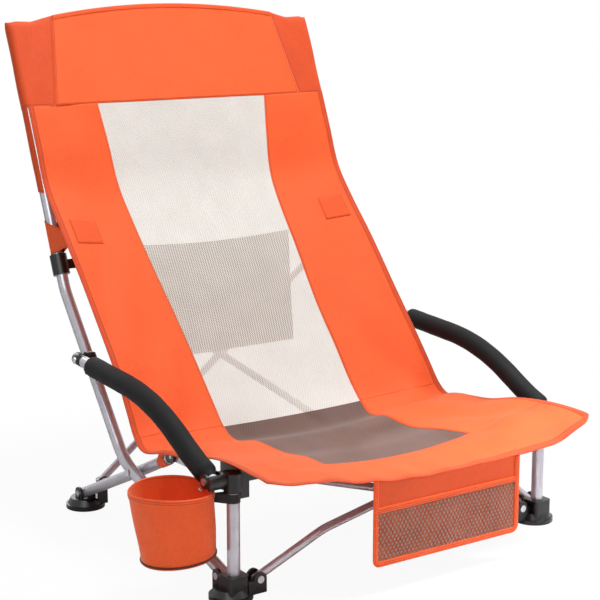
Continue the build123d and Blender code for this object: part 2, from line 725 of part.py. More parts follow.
def headrest():
    """Flat headrest band with a crowned top and a sleeve down each back post, open behind the side panels."""
    low = on_post(headrest_low_along, headrest_stand_off)
    plane = Plane(origin=(0, *low), x_dir=(1, 0, 0), z_dir=(0, top_dir[1], -top_dir[0]))
    corner = back_half_width + headrest_flare
    outline = (
        Line((-back_half_width, 0), (back_half_width, 0)),
        Line((back_half_width, 0), (corner, -headrest_height)),
        ThreePointArc(
            (corner, -headrest_height), (0, -headrest_height - headrest_crown), (-corner, -headrest_height)
        ),
        Line((-corner, -headrest_height), (-back_half_width, 0)),
    )
    band = extrude(plane * make_face(outline), cloth)
    sleeve_r = bore_r + sleeve_wall
    low_end = along(post_bend_high, post_top, sleeve_low_along)
    cut_low = along(post_bend_high, post_top, sleeve_low_along - cut_over)
    top_end = along(post_bend_high, post_top, post_length + side_gap)
    cap_end = along(post_bend_high, post_top, post_length + side_gap + sleeve_wall)
    open_face = tube_r - sleeve_open
    open_part = [
        on_post(sleeve_low_along - cut_over, open_face), on_post(headrest_low_along + cloth_gap, open_face),
        on_post(headrest_low_along + cloth_gap, tube_dia), on_post(sleeve_low_along - cut_over, tube_dia),
    ]
    for side in (-1, 1):
        x = side * post_x
        sleeve = bar((x, *low_end), (x, *cap_end), sleeve_r)
        sleeve -= side_plate(open_part, x - tube_dia, x + tube_dia)
        band += sleeve
        band -= bar((x, *cut_low), (x, *top_end), bore_r)
    add("headrest_panel", band)


def back_strap(side, name):
    """Webbing loop round the back post, with a tab to the sling's edge."""
    x = side * post_x
    low = along(post_bend_high, post_top, back_strap_low)
    high = along(post_bend_high, post_top, back_strap_low + back_strap_length)
    loop = bar((x, *low), (x, *high), bore_r + sleeve_wall)
    upper, n = back_frame[3]
    lower = back_frame[4][0]
    down = cloth + cloth_gap
    edge = []
    for share in back_strap_tab:
        y = upper[0] + (lower[0] - upper[0]) * share
        z = upper[1] + (lower[1] - upper[1]) * share
        edge.append((y + n[0] * down, z + n[1] * down))
    loop += side_plate([low, high, *edge], x - side * cloth / 2, x + side * cloth / 2)
    bore_low = along(low, high, -back_strap_length)
    bore_high = along(high, low, -back_strap_length)
    loop -= bar((x, *bore_low), (x, *bore_high), bore_r)
    add(f"back_strap_{name}", loop)


def front_pocket():
    """Flat pocket under the seat's front edge: a bound frame and the mesh inside it."""
    edge, n = seat_frame[-1]
    lowest = edge[3] + cloth
    y1 = edge[0] + n[0] * lowest
    outline = [(pocket_right, pocket_low), (pocket_left, pocket_low)]
    for i in range(pocket_steps + 1):
        x = pocket_left + (pocket_right - pocket_left) * i / pocket_steps
        outline.append((x, edge[1] + n[1] * (drop(edge, x / edge[2]) + cloth) - cloth_gap))
    frame = extrude(Plane.XZ.offset(-y1) * make_face(Polyline(*outline, close=True)), cloth)
    mesh_top = edge[1] + n[1] * lowest - pocket_band
    window = block(
        pocket_left + pocket_hem, pocket_right - pocket_hem, y1 - cloth, y1, pocket_low + pocket_hem, mesh_top
    )
    add("front_pocket_binding", frame - window)
    add("front_pocket_mesh", window)


def cup_ring(z, tilt, swing, radius):
    """Tilted circle round the cup at a height, moved by swing in the direction in which the cup hangs."""
    toward = unit((0, 0), cup_swing_toward)
    sine = math.sin(math.radians(tilt))
    up = (-toward[0] * sine, -toward[1] * sine, math.cos(math.radians(tilt)))
    center = (cup_center[0] + toward[0] * swing, cup_center[1] + toward[1] * swing, z)
    return Plane(origin=center, z_dir=up) * Circle(radius)


def cup_holder():
    """Soft hanging cup with an open top, and the strap that ties it to the left front post."""
    bottom_z = cup_rim_z - cup_height
    outer = loft([
        cup_ring(bottom_z, cup_bottom_tilt, cup_swing, cup_bottom_dia / 2),
        cup_ring(cup_rim_z, cup_rim_tilt, 0, cup_top_dia / 2),
    ], ruled=True)
    inner = loft([
        cup_ring(bottom_z + cup_wall, cup_bottom_tilt, cup_swing, cup_bottom_dia / 2 - cup_wall),
        cup_ring(cup_rim_z + cup_wall, cup_rim_tilt, 0, cup_top_dia / 2 - cup_wall),
    ], ruled=True)
    add("cup_holder", outer - inner)
    low = (-post_x, 0, cup_strap_low)
    high = (-post_x, 0, cup_strap_low + cup_strap_height)
    d = unit((-post_x, 0), cup_center)
    w = (-d[1] * cloth / 2, d[0] * cloth / 2)
    near = (-post_x + d[0] * tube_r, d[1] * tube_r)
    far = cup_center
    points = [
        (near[0] + w[0], near[1] + w[1]), (far[0] + w[0], far[1] + w[1]),
        (far[0] - w[0], far[1] - w[1]), (near[0] - w[0], near[1] - w[1]),
    ]
    tie = extrude(Plane.XY.offset(cup_strap_low) * make_face(Polyline(*points, close=True)), cup_strap_height)
    strap = bar(low, high, tube_r + cloth) + (tie - outer) - bar(low, high, tube_r)
    flat = -(hub_outer_x + cap_gap)
    strap -= block(flat, 0, -cap_dia, cap_dia, low[2] - cut_over, high[2] + cut_over)
    add("cup_holder_strap", strap)


sling()
rear_pocket()
headrest()
front_pocket()
cup_holder()
for side, name in ((-1, "left"), (1, "right")):
    back_strap(side, name)


# The origin of the finished chair is on the floor, under the middle of its outer box.
all_solids = [s for solids in parts.values() for solid in solids for s in solid.solids()]
outer_box = Compound(all_solids).bounding_box()
to_origin = Pos(-outer_box.center().X, -outer_box.center().Y, 0)
print("shift to origin", -outer_box.center().X, -outer_box.center().Y, "lowest point", outer_box.min.Z)

for name, solids in parts.items():
    shapes = [to_origin * s for solid in solids for s in solid.solids()]
    piece = shapes[0] if len(shapes) == 1 else Compound(shapes)
    export_step(piece, f"parts/{name}.step")
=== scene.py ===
"""Looks of the folding camp chair: sling, straps, pockets, cup holder, foam arms and frame finishes."""
import json
import math

import bmesh
import bpy
import numpy as np
from mathutils import Matrix, Vector


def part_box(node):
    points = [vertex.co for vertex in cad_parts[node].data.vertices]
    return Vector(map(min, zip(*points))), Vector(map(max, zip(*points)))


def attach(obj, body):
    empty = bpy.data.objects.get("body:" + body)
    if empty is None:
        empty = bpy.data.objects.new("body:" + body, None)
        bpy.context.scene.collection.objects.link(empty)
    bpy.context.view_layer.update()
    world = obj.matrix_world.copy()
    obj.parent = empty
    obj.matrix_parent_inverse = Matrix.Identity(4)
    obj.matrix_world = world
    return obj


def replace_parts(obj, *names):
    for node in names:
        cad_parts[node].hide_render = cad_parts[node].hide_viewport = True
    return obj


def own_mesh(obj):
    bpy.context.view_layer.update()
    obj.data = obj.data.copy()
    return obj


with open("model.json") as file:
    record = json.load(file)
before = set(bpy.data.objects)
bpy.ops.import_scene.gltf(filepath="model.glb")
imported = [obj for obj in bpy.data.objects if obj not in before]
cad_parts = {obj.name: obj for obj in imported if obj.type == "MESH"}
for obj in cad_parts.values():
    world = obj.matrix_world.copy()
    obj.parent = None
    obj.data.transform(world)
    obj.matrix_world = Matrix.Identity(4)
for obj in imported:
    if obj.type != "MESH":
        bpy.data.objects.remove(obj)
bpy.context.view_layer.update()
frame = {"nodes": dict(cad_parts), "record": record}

# Design millimetres: x across from the middle, y back from the front posts, z up from the floor
POST_X = 295.0
TUBE_R = 9.5
post_low, post_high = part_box("front_post_left")
SHIFT = np.array([
    (post_low.x + post_high.x) * 500 + POST_X,
    (post_low.y + post_high.y) * 500,
    0.0,
])

# Upper run of the back posts in y and z, from the bend to the top, and the direction out of its front
POST_BEND = np.array([508.0, 372.0])
POST_TOP = np.array([675.0, 790.0])
POST_LENGTH = float(np.hypot(*(POST_TOP - POST_BEND)))
POST_UP = (POST_TOP - POST_BEND) / POST_LENGTH
POST_OUT = np.array([-POST_UP[1], POST_UP[0]])

# Headrest seam and lower end of the sleeves, as distances above that bend, and how far the headrest and the
# panels stand off the posts' axes
HEADREST_HEIGHT = 140.1
HEADREST_LOW = POST_LENGTH - HEADREST_HEIGHT
SLEEVE_LOW = 163.0
STAND_OFF = 11.7
PANEL_OFF = 12.9


def post_station(distance):
    """Edge point in front of the upper back post, at a distance above its bend."""
    y, z = POST_BEND + POST_UP * distance + POST_OUT * PANEL_OFF
    return y, z


# Sling stations from the headrest seam to the front edge: edge y and z, half width, sag, power of the sag,
# pull of the pocket on the right half, and the share of the half width that is mesh. The last one only
# gives the cloth's direction at the front edge.
STATIONS = np.array([
    (*post_station(HEADREST_LOW), 300.0, 0.0, 1.6, 0.0, 0.570),
    (*post_station(HEADREST_LOW * 0.774), 300.0, 12.0, 1.6, 0.0, 0.540),
    (*post_station(HEADREST_LOW * 0.548), 300.0, 22.0, 1.6, 0.0, 0.520),
    (515.0, 480.0, 299.0, 30.0, 1.6, 0.0, 0.507),
    (455.0, 415.0, 299.0, 34.0, 1.3, 0.0, 0.493),
    (385.0, 332.0, 299.0, 34.0, 1.3, 0.0, 0.470),
    (330.0, 266.0, 300.0, 30.0, 1.3, 0.0, 0.462),
    (290.0, 212.0, 303.0, 24.0, 1.3, 0.0, 0.452),
    (264.0, 177.0, 305.0, 16.0, 1.3, 0.0, 0.450),
    (238.0, 164.5, 305.0, 16.0, 1.6, 0.0, 0.440),
    (192.0, 177.0, 300.0, 22.0, 2.0, 0.0, 0.425),
    (120.0, 182.0, 296.0, 28.0, 1.4, 0.0, 0.420),
    (55.0, 197.0, 295.0, 34.0, 1.3, 0.0, 0.440),
    (-5.0, 204.0, 300.0, 38.0, 1.3, 0.0, 0.465),
    (-58.0, 205.0, 304.0, 38.0, 1.5, 0.0, 0.465),
    (-112.0, 203.0, 304.0, 38.0, 1.5, 1.0, 0.452),
    (-150.0, 196.0, 298.0, 38.0, 1.5, 1.0, 0.452),
])
# Station numbers of the sling's top at the headrest, the crease, the seat mesh's end and the front edge
TOP, CREASE, MESH_END, FRONT = 0.0, 8.0, 13.0, 15.0
# The front corners are rounded off from this share of the half width, by this much
CORNER_FROM, CORNER_BACK = 0.93, 11.0
# Depths of cloth, mesh and hems below the sling's face, and the cloth's thickness
CLOTH_DEPTH, MESH_DEPTH, HEM_DEPTH, CLOTH_THICK = 0.3, 1.0, 0.6, 1.3
# Distance of the stitches from a sewn edge, and one at which an edge counts as not sewn
SEAM_LINE, UNSEWN = 3.0, 50.0

# Cup holder: middle of its rim, its sizes, the way its bottom swings, and the tilts of rim and bottom
CUP_RIM = np.array([-368.0, 50.0, 167.5])
CUP_HEIGHT, CUP_TOP_R, CUP_BOTTOM_R = 102.0, 61.5, 55.0
CUP_SWING = 10.0
CUP_TOWARD = np.array([0.82, -0.57]) / math.hypot(0.82, 0.57)
CUP_RIM_TILT, CUP_BOTTOM_TILT = math.radians(-0.8), math.radians(5.0)

# Armrests: distance from the middle, and the corners of the tube's axis in y and z from front to rear
ARM_X = 322.0
ARM_CORNERS = np.array([(12.0, 180.0), (60.0, 199.0), (178.0, 262.0), (407.0, 277.0)])


def unit(vectors):
    """Vectors of length one, along the last axis."""
    return vectors / np.linalg.norm(vectors, axis=-1, keepdims=True)


def run_lengths(path):
    """Distance of each point of a path from its start, along the path."""
    return np.concatenate([[0], np.linalg.norm(np.diff(path, axis=0), axis=1).cumsum()])


def colour(code):
    """Linear RGBA of an sRGB hex code."""
    s = np.array([int(code[i:i + 2], 16) for i in (1, 3, 5)]) / 255
    linear = np.where(s <= 0.04045, s / 12.92, ((s + 0.055) / 1.055) ** 2.4)
    return (*linear.tolist(), 1.0)


def add_node(tree, kind, inputs=None, **settings):
    """Add one node. Settings are its own properties; an input takes a value, or a socket to link from."""
    made = tree.nodes.new("ShaderNode" + kind)
    for key, value in settings.items():
        setattr(made, key, value)
    for key, value in (inputs or {}).items():
        if isinstance(value, bpy.types.NodeSocket):
            tree.links.new(value, made.inputs[key])
        else:
            made.inputs[key].default_value = value
    return made


def new_material(name):
    """Empty node material and its tree."""
    material = bpy.data.materials.new(name)
    material.use_nodes = True
    material.node_tree.nodes.clear()
    return material, material.node_tree


def woven_polyester(name, base, shade, thread):
    """Coated polyester oxford cloth, woven and piece dyed: soft sheen, faint ribs, tone-on-tone stitching.

    The real threads lie 0.5 mm apart, too fine to show, so the ribs are drawn 2.2 mm apart.
    """
    material, tree = new_material(name)
    rib_mm, mottle_mm, slub_mm = 2.2, 55.0, 5.0
    stitch_mm, stitch_on_mm, stitch_half_mm, line_mm = 4.4, 3.5, 0.5, SEAM_LINE
    coord = add_node(tree, "TexCoord")
    turns = 2 * math.pi / (rib_mm / 1000)
    ribs = add_node(tree, "VectorMath", {0: coord.outputs["UV"], 1: (turns, turns, 0)}, operation="MULTIPLY")
    axes = add_node(tree, "SeparateXYZ", {0: ribs.outputs[0]})
    weft = add_node(tree, "Math", {0: axes.outputs[0]}, operation="SINE")
    warp = add_node(tree, "Math", {0: axes.outputs[1]}, operation="SINE")
    weave = add_node(tree, "Math", {0: weft.outputs[0], 1: warp.outputs[0]}, operation="MULTIPLY")
    mottle = add_node(tree, "TexNoise", {
        "Vector": coord.outputs["Object"], "Scale": 1000 / mottle_mm, "Detail": 3.0, "Roughness": 0.55})
    slub = add_node(tree, "TexNoise", {
        "Vector": coord.outputs["Object"], "Scale": 1000 / slub_mm, "Detail": 2.0, "Roughness": 0.6})
    spread = add_node(tree, "MapRange", {
        "Value": mottle.outputs[0], "From Min": 0.3, "From Max": 0.72, "To Min": 0.0, "To Max": 0.75})
    dyed = add_node(tree, "Mix", {
        0: spread.outputs[0], 6: colour(base), 7: colour(shade)}, data_type="RGBA")
    yarn = add_node(tree, "MapRange", {
        "Value": slub.outputs[0], "From Min": 0.3, "From Max": 0.7, "To Min": 0.95, "To Max": 1.04})
    toned = add_node(tree, "Mix", {
        0: 1.0, 6: dyed.outputs[2], 7: yarn.outputs[0]}, data_type="RGBA", blend_type="MULTIPLY")
    edge = add_node(tree, "Attribute", attribute_name="edge_mm")
    run = add_node(tree, "Attribute", attribute_name="run_mm")
    line = add_node(tree, "Math", {
        0: edge.outputs["Fac"], 1: line_mm, 2: stitch_half_mm}, operation="COMPARE")
    place = add_node(tree, "Math", {0: run.outputs["Fac"], 1: stitch_mm, 2: 0.0}, operation="WRAP")
    on = add_node(tree, "Math", {0: place.outputs[0], 1: stitch_on_mm}, operation="LESS_THAN")
    stitch = add_node(tree, "Math", {0: line.outputs[0], 1: on.outputs[0]}, operation="MULTIPLY")
    sewn = add_node(tree, "Mix", {
        0: stitch.outputs[0], 6: toned.outputs[2], 7: colour(thread)}, data_type="RGBA")
    relief = add_node(tree, "Math", {
        0: stitch.outputs[0], 1: -2.0, 2: weave.outputs[0]}, operation="MULTIPLY_ADD")
    bump = add_node(tree, "Bump", {
        "Height": relief.outputs[0], "Strength": 0.35, "Distance": 0.0004})
    cloth = add_node(tree, "BsdfPrincipled", {
        "Base Color": sewn.outputs[2], "Roughness": 0.66, "Specular IOR Level": 0.35, "IOR": 1.5,
        "Sheen Weight": 0.60, "Sheen Roughness": 0.35, "Sheen Tint": colour("#FFC9A8"),
        "Normal": bump.outputs[0]})
    add_node(tree, "OutputMaterial", {0: cloth.outputs[0]})
    return material


def knitted_mesh(name, yarn, shade, hole_mm, open_share, through):
    """Warp-knitted polyester mesh: staggered round holes in a matt knit.

    Real holes are about 1.5 mm apart. They are drawn at hole_mm so that they show. A hole opens where the
    product of two cosines passes open_share, and the opacity falls to through there. Towards each hole the
    colour turns from yarn to shade, a painted shade of what lies behind the holes, varied by a slow mottle.
    """
    material, tree = new_material(name)
    row_share, soft_edge, mottle_mm = 0.62, 0.18, 40.0
    coord = add_node(tree, "TexCoord")
    turns = 2 * math.pi / (hole_mm / 1000)
    cells = add_node(tree, "VectorMath", {
        0: coord.outputs["UV"], 1: (turns, turns * row_share, 0)}, operation="MULTIPLY")
    axes = add_node(tree, "SeparateXYZ", {0: cells.outputs[0]})
    across = add_node(tree, "Math", {0: axes.outputs[0]}, operation="COSINE")
    down = add_node(tree, "Math", {0: axes.outputs[1]}, operation="COSINE")
    holes = add_node(tree, "Math", {0: across.outputs[0], 1: down.outputs[0]}, operation="MULTIPLY")
    solid = add_node(tree, "MapRange", {
        "Value": holes.outputs[0], "From Min": open_share - soft_edge, "From Max": open_share + soft_edge,
        "To Min": 1.0, "To Max": through}, interpolation_type="SMOOTHSTEP")
    tint = add_node(tree, "MapRange", {
        "Value": holes.outputs[0], "From Min": -0.9, "From Max": open_share, "To Min": 0.0, "To Max": 1.0})
    mottle = add_node(tree, "TexNoise", {
        "Vector": coord.outputs["Object"], "Scale": 1000 / mottle_mm, "Detail": 2.0})
    # painted shade: towards each hole the knit turns to the shade colour, varied by the mottle
    second_tone = add_node(tree, "Math", {0: tint.outputs[0], 1: mottle.outputs[0]}, operation="MULTIPLY")
    knit = add_node(tree, "Mix", {
        0: second_tone.outputs[0], 6: colour(yarn), 7: colour(shade)}, data_type="RGBA")
    bump = add_node(tree, "Bump", {
        "Height": solid.outputs[0], "Strength": 0.4, "Distance": 0.0006})
    cloth = add_node(tree, "BsdfPrincipled", {
        "Base Color": knit.outputs[2], "Roughness": 0.72, "Specular IOR Level": 0.3,
        "Sheen Weight": 0.40, "Sheen Roughness": 0.4,
        "Alpha": solid.outputs[0], "Normal": bump.outputs[0]})
    add_node(tree, "OutputMaterial", {0: cloth.outputs[0]})
    return material


def plain_finish(name, base, second_tone, metallic, roughness, grain_mm, relief_mm, specular=0.5, cells=False):
    """Surface with a grain of one real size, and with colour and gloss that follow blotches of 22 grains."""
    material, tree = new_material(name)
    blotch_mm = grain_mm * 22
    coord = add_node(tree, "TexCoord")
    kind = "TexVoronoi" if cells else "TexNoise"
    grain = add_node(tree, kind, {"Vector": coord.outputs["Object"], "Scale": 1000 / grain_mm})
    blotch = add_node(tree, "TexNoise", {
        "Vector": coord.outputs["Object"], "Scale": 1000 / blotch_mm, "Detail": 4.0, "Roughness": 0.6})
    spread = add_node(tree, "MapRange", {
        "Value": blotch.outputs[0], "From Min": 0.42, "From Max": 0.74, "To Min": 0.0, "To Max": 1.0})
    tone = add_node(tree, "Mix", {
        0: spread.outputs[0], 6: colour(base), 7: colour(second_tone)}, data_type="RGBA")
    gloss = add_node(tree, "MapRange", {
        "Value": blotch.outputs[0], "From Min": 0.3, "From Max": 0.7,
        "To Min": roughness - 0.02, "To Max": roughness + 0.04})
    bump = add_node(tree, "Bump", {
        "Height": grain.outputs[0], "Strength": 0.5, "Distance": relief_mm / 1000})
    shader = add_node(tree, "BsdfPrincipled", {
        "Base Color": tone.outputs[2], "Metallic": metallic, "Roughness": gloss.outputs[0],
        "Specular IOR Level": specular, "Normal": bump.outputs[0]})
    add_node(tree, "OutputMaterial", {0: shader.outputs[0]})
    return material


# Coated oxford cloth: an even orange with a soft sheen. The darker copy is painted shade: on doubled cloth
# it stands in for the light that shines through one layer and not through two, and on the front pocket's
# backing for the shadow under the seat's front edge
orange_oxford = woven_polyester("orange_polyester_oxford", "#FA6129", "#F25B25", "#BE4217")
orange_double_and_shade = woven_polyester("orange_polyester_double_layer_painted_shade", "#DC4E1C", "#D2481A", "#A83611")
# Woven tapes: narrow bands that draw the edges, and a dark band round the cup's bottom; the mid orange tape
# also paints the darker squares on the back panels, a painted shadow
orange_tape_and_shadow = woven_polyester("orange_binding_tape_painted_shadow", "#F0591F", "#E4511C", "#B93E14")
dark_bottom_band = woven_polyester("dark_polyester_bottom_band", "#5A2512", "#4E1F0F", "#40190C")
# Polypropylene webbing: a dull black band
black_webbing = woven_polyester("black_polypropylene_webbing", "#19191B", "#141416", "#2A2A2D")
# Uncoated polyester: a dull brown-beige, paler where it is seen through the back mesh
beige_lining = woven_polyester("beige_polyester_pocket", "#755F4E", "#6B5646", "#584738")
# Warp knits: cream and see-through on the back; dense on the seat, where the dark holes are painted shade of
# its underside; wide open on the pocket, where the brown tones are painted shade of a paler net in the
# shadow under the seat's front edge
cream_knit = knitted_mesh("cream_polyester_knit", "#DFD9D1", "#C4BBB1",
                          hole_mm=3.6, open_share=0.16, through=0.31)
taupe_knit = knitted_mesh("taupe_polyester_knit", "#6C4E43", "#3A231B",
                          hole_mm=5.2, open_share=0.30, through=0.88)
pocket_knit = knitted_mesh("polyester_net_painted_shade", "#A07260", "#5C2D1C",
                           hole_mm=7.0, open_share=0.10, through=0.25)
# Powder coat on drawn steel tube: silver grey with long soft highlights
grey_steel = plain_finish("grey_powder_coated_steel", "#C2C1C9", "#B6B4BD",
                          metallic=0.50, roughness=0.22, grain_mm=0.9, relief_mm=0.004)
# Nylon out of a mould: near black, with a fine spark-eroded grain that keeps the gloss soft
black_nylon = plain_finish("black_moulded_nylon", "#050506", "#09090B",
                           metallic=0.0, roughness=0.30, grain_mm=0.7, relief_mm=0.02)
# Zinc plate on pressed steel: small bright heads
zinc_steel = plain_finish("zinc_plated_rivet_steel", "#C6C8CC", "#A9ABB0",
                          metallic=1.0, roughness=0.30, grain_mm=0.8, relief_mm=0.01)
# Closed-cell foam: a matt charcoal skin with fine cells
arm_foam = plain_finish("charcoal_closed_cell_foam", "#0B0A0C", "#100F11",
                        metallic=0.0, roughness=0.70, grain_mm=1.4, relief_mm=0.12,
                        specular=0.22, cells=True)

FRAME_FINISHES = {
    "tube_steel": grey_steel,
    "rivet_steel": zinc_steel,
    "black_plastic": black_nylon,
    "arm_foam": arm_foam,
    "orange_polyester": orange_oxford,
    "back_mesh": cream_knit,
    "seat_mesh": taupe_knit,
    "pocket_cloth": pocket_knit,
    "black_webbing": black_webbing,
}


def finish_frame():
    """Give each carried-over node the finish of its record slot."""
    for entry in frame["record"]["subparts"]:
        node = frame["nodes"][entry["node"]]
        node.data.materials.clear()
        node.data.materials.append(FRAME_FINISHES[entry["material_slot"]])


def grid_faces(rows, cols, wrap_rows, wrap_cols):
    """Corner numbers of a grid's quads, carried round where the grid closes on itself."""
    i, j = np.meshgrid(np.arange(rows - (not wrap_rows)), np.arange(cols - (not wrap_cols)), indexing="ij")
    i2, j2 = (i + 1) % rows, (j + 1) % cols
    return np.stack([i * cols + j, i2 * cols + j, i2 * cols + j2, i * cols + j2], -1).reshape(-1, 4)


def surface(name, points, material, wrap=(False, False), uv=None, edge=None, run=None,
            thickness=0.0, outward=False):
    """Object whose mesh is a grid of points in design millimetres, set into the shared frame in metres.

    uv is in metres. edge and run give the distance from the nearest sewn edge and along it, in millimetres.
    """
    rows, cols = points.shape[:2]
    co = (points.reshape(-1, 3) + SHIFT) / 1000
    faces = grid_faces(rows, cols, *wrap)
    mesh = bpy.data.meshes.new(name)
    mesh.from_pydata(co.tolist(), [], faces.tolist())
    if uv is None:
        step_r = np.linalg.norm(np.diff(points, axis=0, prepend=points[:1]), axis=2).cumsum(0)
        step_c = np.linalg.norm(np.diff(points, axis=1, prepend=points[:, :1]), axis=2).cumsum(1)
        uv = np.stack([step_c, step_r], -1) / 1000
    layer = mesh.uv_layers.new(name="cloth")
    corner = np.zeros(len(mesh.loops), np.int32)
    mesh.loops.foreach_get("vertex_index", corner)
    layer.data.foreach_set("uv", uv.reshape(-1, 2)[corner].astype(np.float32).ravel())
    for key, values in (("edge_mm", edge), ("run_mm", run)):
        if values is not None:
            attribute = mesh.attributes.new(key, "FLOAT", "POINT")
            attribute.data.foreach_set("value", np.asarray(values, np.float32).ravel())
    work = bmesh.new()
    work.from_mesh(mesh)
    bmesh.ops.remove_doubles(work, verts=work.verts, dist=1e-6)
    if outward:
        bmesh.ops.recalc_face_normals(work, faces=work.faces)
    work.to_mesh(mesh)
    work.free()
    mesh.polygons.foreach_set("use_smooth", np.ones(len(mesh.polygons), bool))
    mesh.materials.append(material)
    made = bpy.data.objects.new(name, mesh)
    bpy.context.scene.collection.objects.link(made)
    if thickness:
        shell = made.modifiers.new("cloth_thickness", "SOLIDIFY")
        shell.thickness = thickness / 1000
        shell.offset = -1
    return made


def smooth_rows(table, at):
    """Rows of a table at fractional row numbers.

    Between two rows runs a cubic, whose slope at a row is half the step between that row's neighbours.
    """
    last = len(table) - 1
    at = np.clip(at, 0, last)
    i = np.clip(np.floor(at).astype(int), 0, last - 1)
    f = (at - i)[:, None]
    p1, p2 = table[i], table[i + 1]
    slope1 = (p2 - table[np.maximum(i - 1, 0)]) / 2
    slope2 = (table[np.minimum(i + 2, last)] - p1) / 2
    h = f * f * (3 - 2 * f)
    return p1 * (1 - h) + p2 * h + slope1 * f * (1 - f) ** 2 - slope2 * f * f * (1 - f)


def folds(at, share):
    """Height of the cloth's soft folds in mm, as sums of sines that fade out away from their place.

    Slow and slanting ripples run down the panels, tucks fan from the crease, gathers and small puckers lie
    at the front, and the loose edge hangs beside the side links.
    """
    at = at[:, None]
    side = np.sign(share)
    out = np.abs(share)
    off_edge = np.clip((1 - out) * 7, 0, 1)
    panel = np.clip((out - 0.46) * 4, 0, 1) * off_edge
    slow = 2.6 * np.sin(at * 1.9 + side * 0.8) * np.sin(out * 9.5 + at * 0.6)
    slant = 2.3 * np.sin(out * 17 - at * 2.3 + side) * np.clip((at - 2.5) / 2, 0, 1)
    tuck = 1.8 * np.exp(-((at - 8.3) / 1.0) ** 2) * np.sin(out * 24 + side * 1.1 + (at - 8) * 1.7)
    front = 2.2 * np.exp(-((at - 13.4) / 1.2) ** 2) * np.sin(out * 15 + side * 0.7 + at * 2.1)
    hang = 6.0 * np.exp(-((at - 9.9) / 0.8) ** 2) * np.clip((out - 0.94) / 0.06, 0, 1) ** 1.5
    pucker = 2.0 * np.exp(-((at - 14.5) / 0.6) ** 2) * np.sin(share * 29 + at * 1.3) * off_edge
    pucker *= 0.35 + 0.65 * np.clip(0.6 - share * 2, 0, 1)
    return panel * (slow + slant + tuck + front) + pucker - hang


def sling_points(at, share, depth):
    """Points of the sling at station numbers at, shares of the half width, and a depth below its face.

    Each station's edge line sags along the underside's normal by sag x (1 - share^2)^power. The pocket's
    pull swaps that on the right half for 1 - share^6. The front corners are rounded off by a square law.
    """
    rows, small = smooth_rows(STATIONS, at), 0.03
    step = unit(smooth_rows(STATIONS, at + small)[:, :2] - smooth_rows(STATIONS, at - small)[:, :2])
    y, z, half, sag, power, pull = (rows[:, k:k + 1] for k in range(6))
    even = np.clip(1 - share ** 2, 0, 1) ** power
    pulled = np.where(share > 0, 1 - share ** 6, even)
    fall = sag * ((1 - pull) * even + pull * pulled) + depth - folds(at, share)
    near = np.clip((at[:, None] - MESH_END) / (FRONT - MESH_END), 0, 1) ** 2
    corner = CORNER_BACK * near * np.clip((np.abs(share) - CORNER_FROM) / (1 - CORNER_FROM), 0, 1) ** 2
    return np.stack([share * half + 0 * fall, y - step[:, 1:] * fall + corner, z + step[:, :1] * fall], -1)


def sling_runs(at, share):
    """Cloth coordinates in mm: across from the middle, and along the edge line."""
    rows = smooth_rows(STATIONS, at)
    return share * rows[:, 2:3], run_lengths(rows[:, :2])[:, None] + 0 * share


def sewn_edges(across, along, low, high, far):
    """Distance to the nearest of a panel's four sewn edges, and the place along that edge."""
    sides = np.minimum(across - low, high - across)
    ends = np.minimum(along - along.min(), along.max() - along) + far
    return np.minimum(sides, ends), np.where(sides < ends, along, across)


def folding(made, body):
    """Ride on a body, with a mesh of its own."""
    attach(made, body)
    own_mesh(made)
    return made


def sling_sheet(name, start, end, inner, outer, rows, cols, depth, material, slot, thickness, far=0.0):
    """Panel of the sling between two stations and two shares, given as functions of the mesh's share.

    far is how many millimetres its two ends lie from the stitching, where the cloth runs on unsewn.
    """
    at = np.linspace(start, end, rows)
    mesh_share = smooth_rows(STATIONS, at)[:, 6:7]
    low, high = inner(mesh_share), outer(mesh_share)
    share = low + (high - low) * np.linspace(0, 1, cols)
    points = sling_points(at, share, depth)
    across, along = sling_runs(at, share)
    edge, run = sewn_edges(across, along, across[:, :1], across[:, -1:], far)
    uv = np.stack([across, along], -1) / 1000
    made = surface(name, points, material, uv=uv, edge=edge, run=run, thickness=thickness)
    return made, points


def strip(name, path, across, normal, width, height, material, inset=0.0):
    """Flat tape with rounded edges, carried along a path and lying across from it by its width.

    Its profile is an oval: the sine of the turn up, and the cosine to the power square across.
    """
    square = 0.35
    turn = np.linspace(0, 2 * math.pi, 16, endpoint=False)
    a = inset + width / 2 + np.sign(np.cos(turn)) * np.abs(np.cos(turn)) ** square * width / 2
    b = np.sin(turn) * height / 2
    points = path[:, None] + a[:, None] * across[:, None] + b[:, None] * normal[:, None]
    along = run_lengths(path)
    edge = np.minimum(a - a.min(), a.max() - a)[None] + 0 * along[:, None]
    run = along[:, None] + 0 * a[None]
    return surface(name, points, material, wrap=(False, True), edge=edge, run=run, outward=True)


def hem_directions(path, inside):
    """Unit vectors across a hem, from its edge to a line inside it, and up out of its cloth."""
    across = unit(inside - path)
    normal = np.cross(np.gradient(path, axis=0), across)
    normal *= np.sign(normal[:, 2:] + 1e-9)
    return across, unit(normal)


def sling_hem(name, start, end, side, body):
    """Folded hem along one outer edge of the sling."""
    width, height, inside_share, rows_per_station = 11.0, 2.6, 0.96, 18
    at = np.linspace(start, end, int(rows_per_station * (end - start)) + 2)
    share = np.full((len(at), 1), side)
    path = sling_points(at, share, HEM_DEPTH)[:, 0]
    inside = sling_points(at, share * inside_share, HEM_DEPTH)[:, 0]
    across, normal = hem_directions(path, inside)
    # painted shade: the hem's darker orange stands in for the light that one layer lets through and two do
    # not
    made = strip(name, path, across, normal, width, height, orange_double_and_shade, inset=-0.8)
    return folding(made, body)


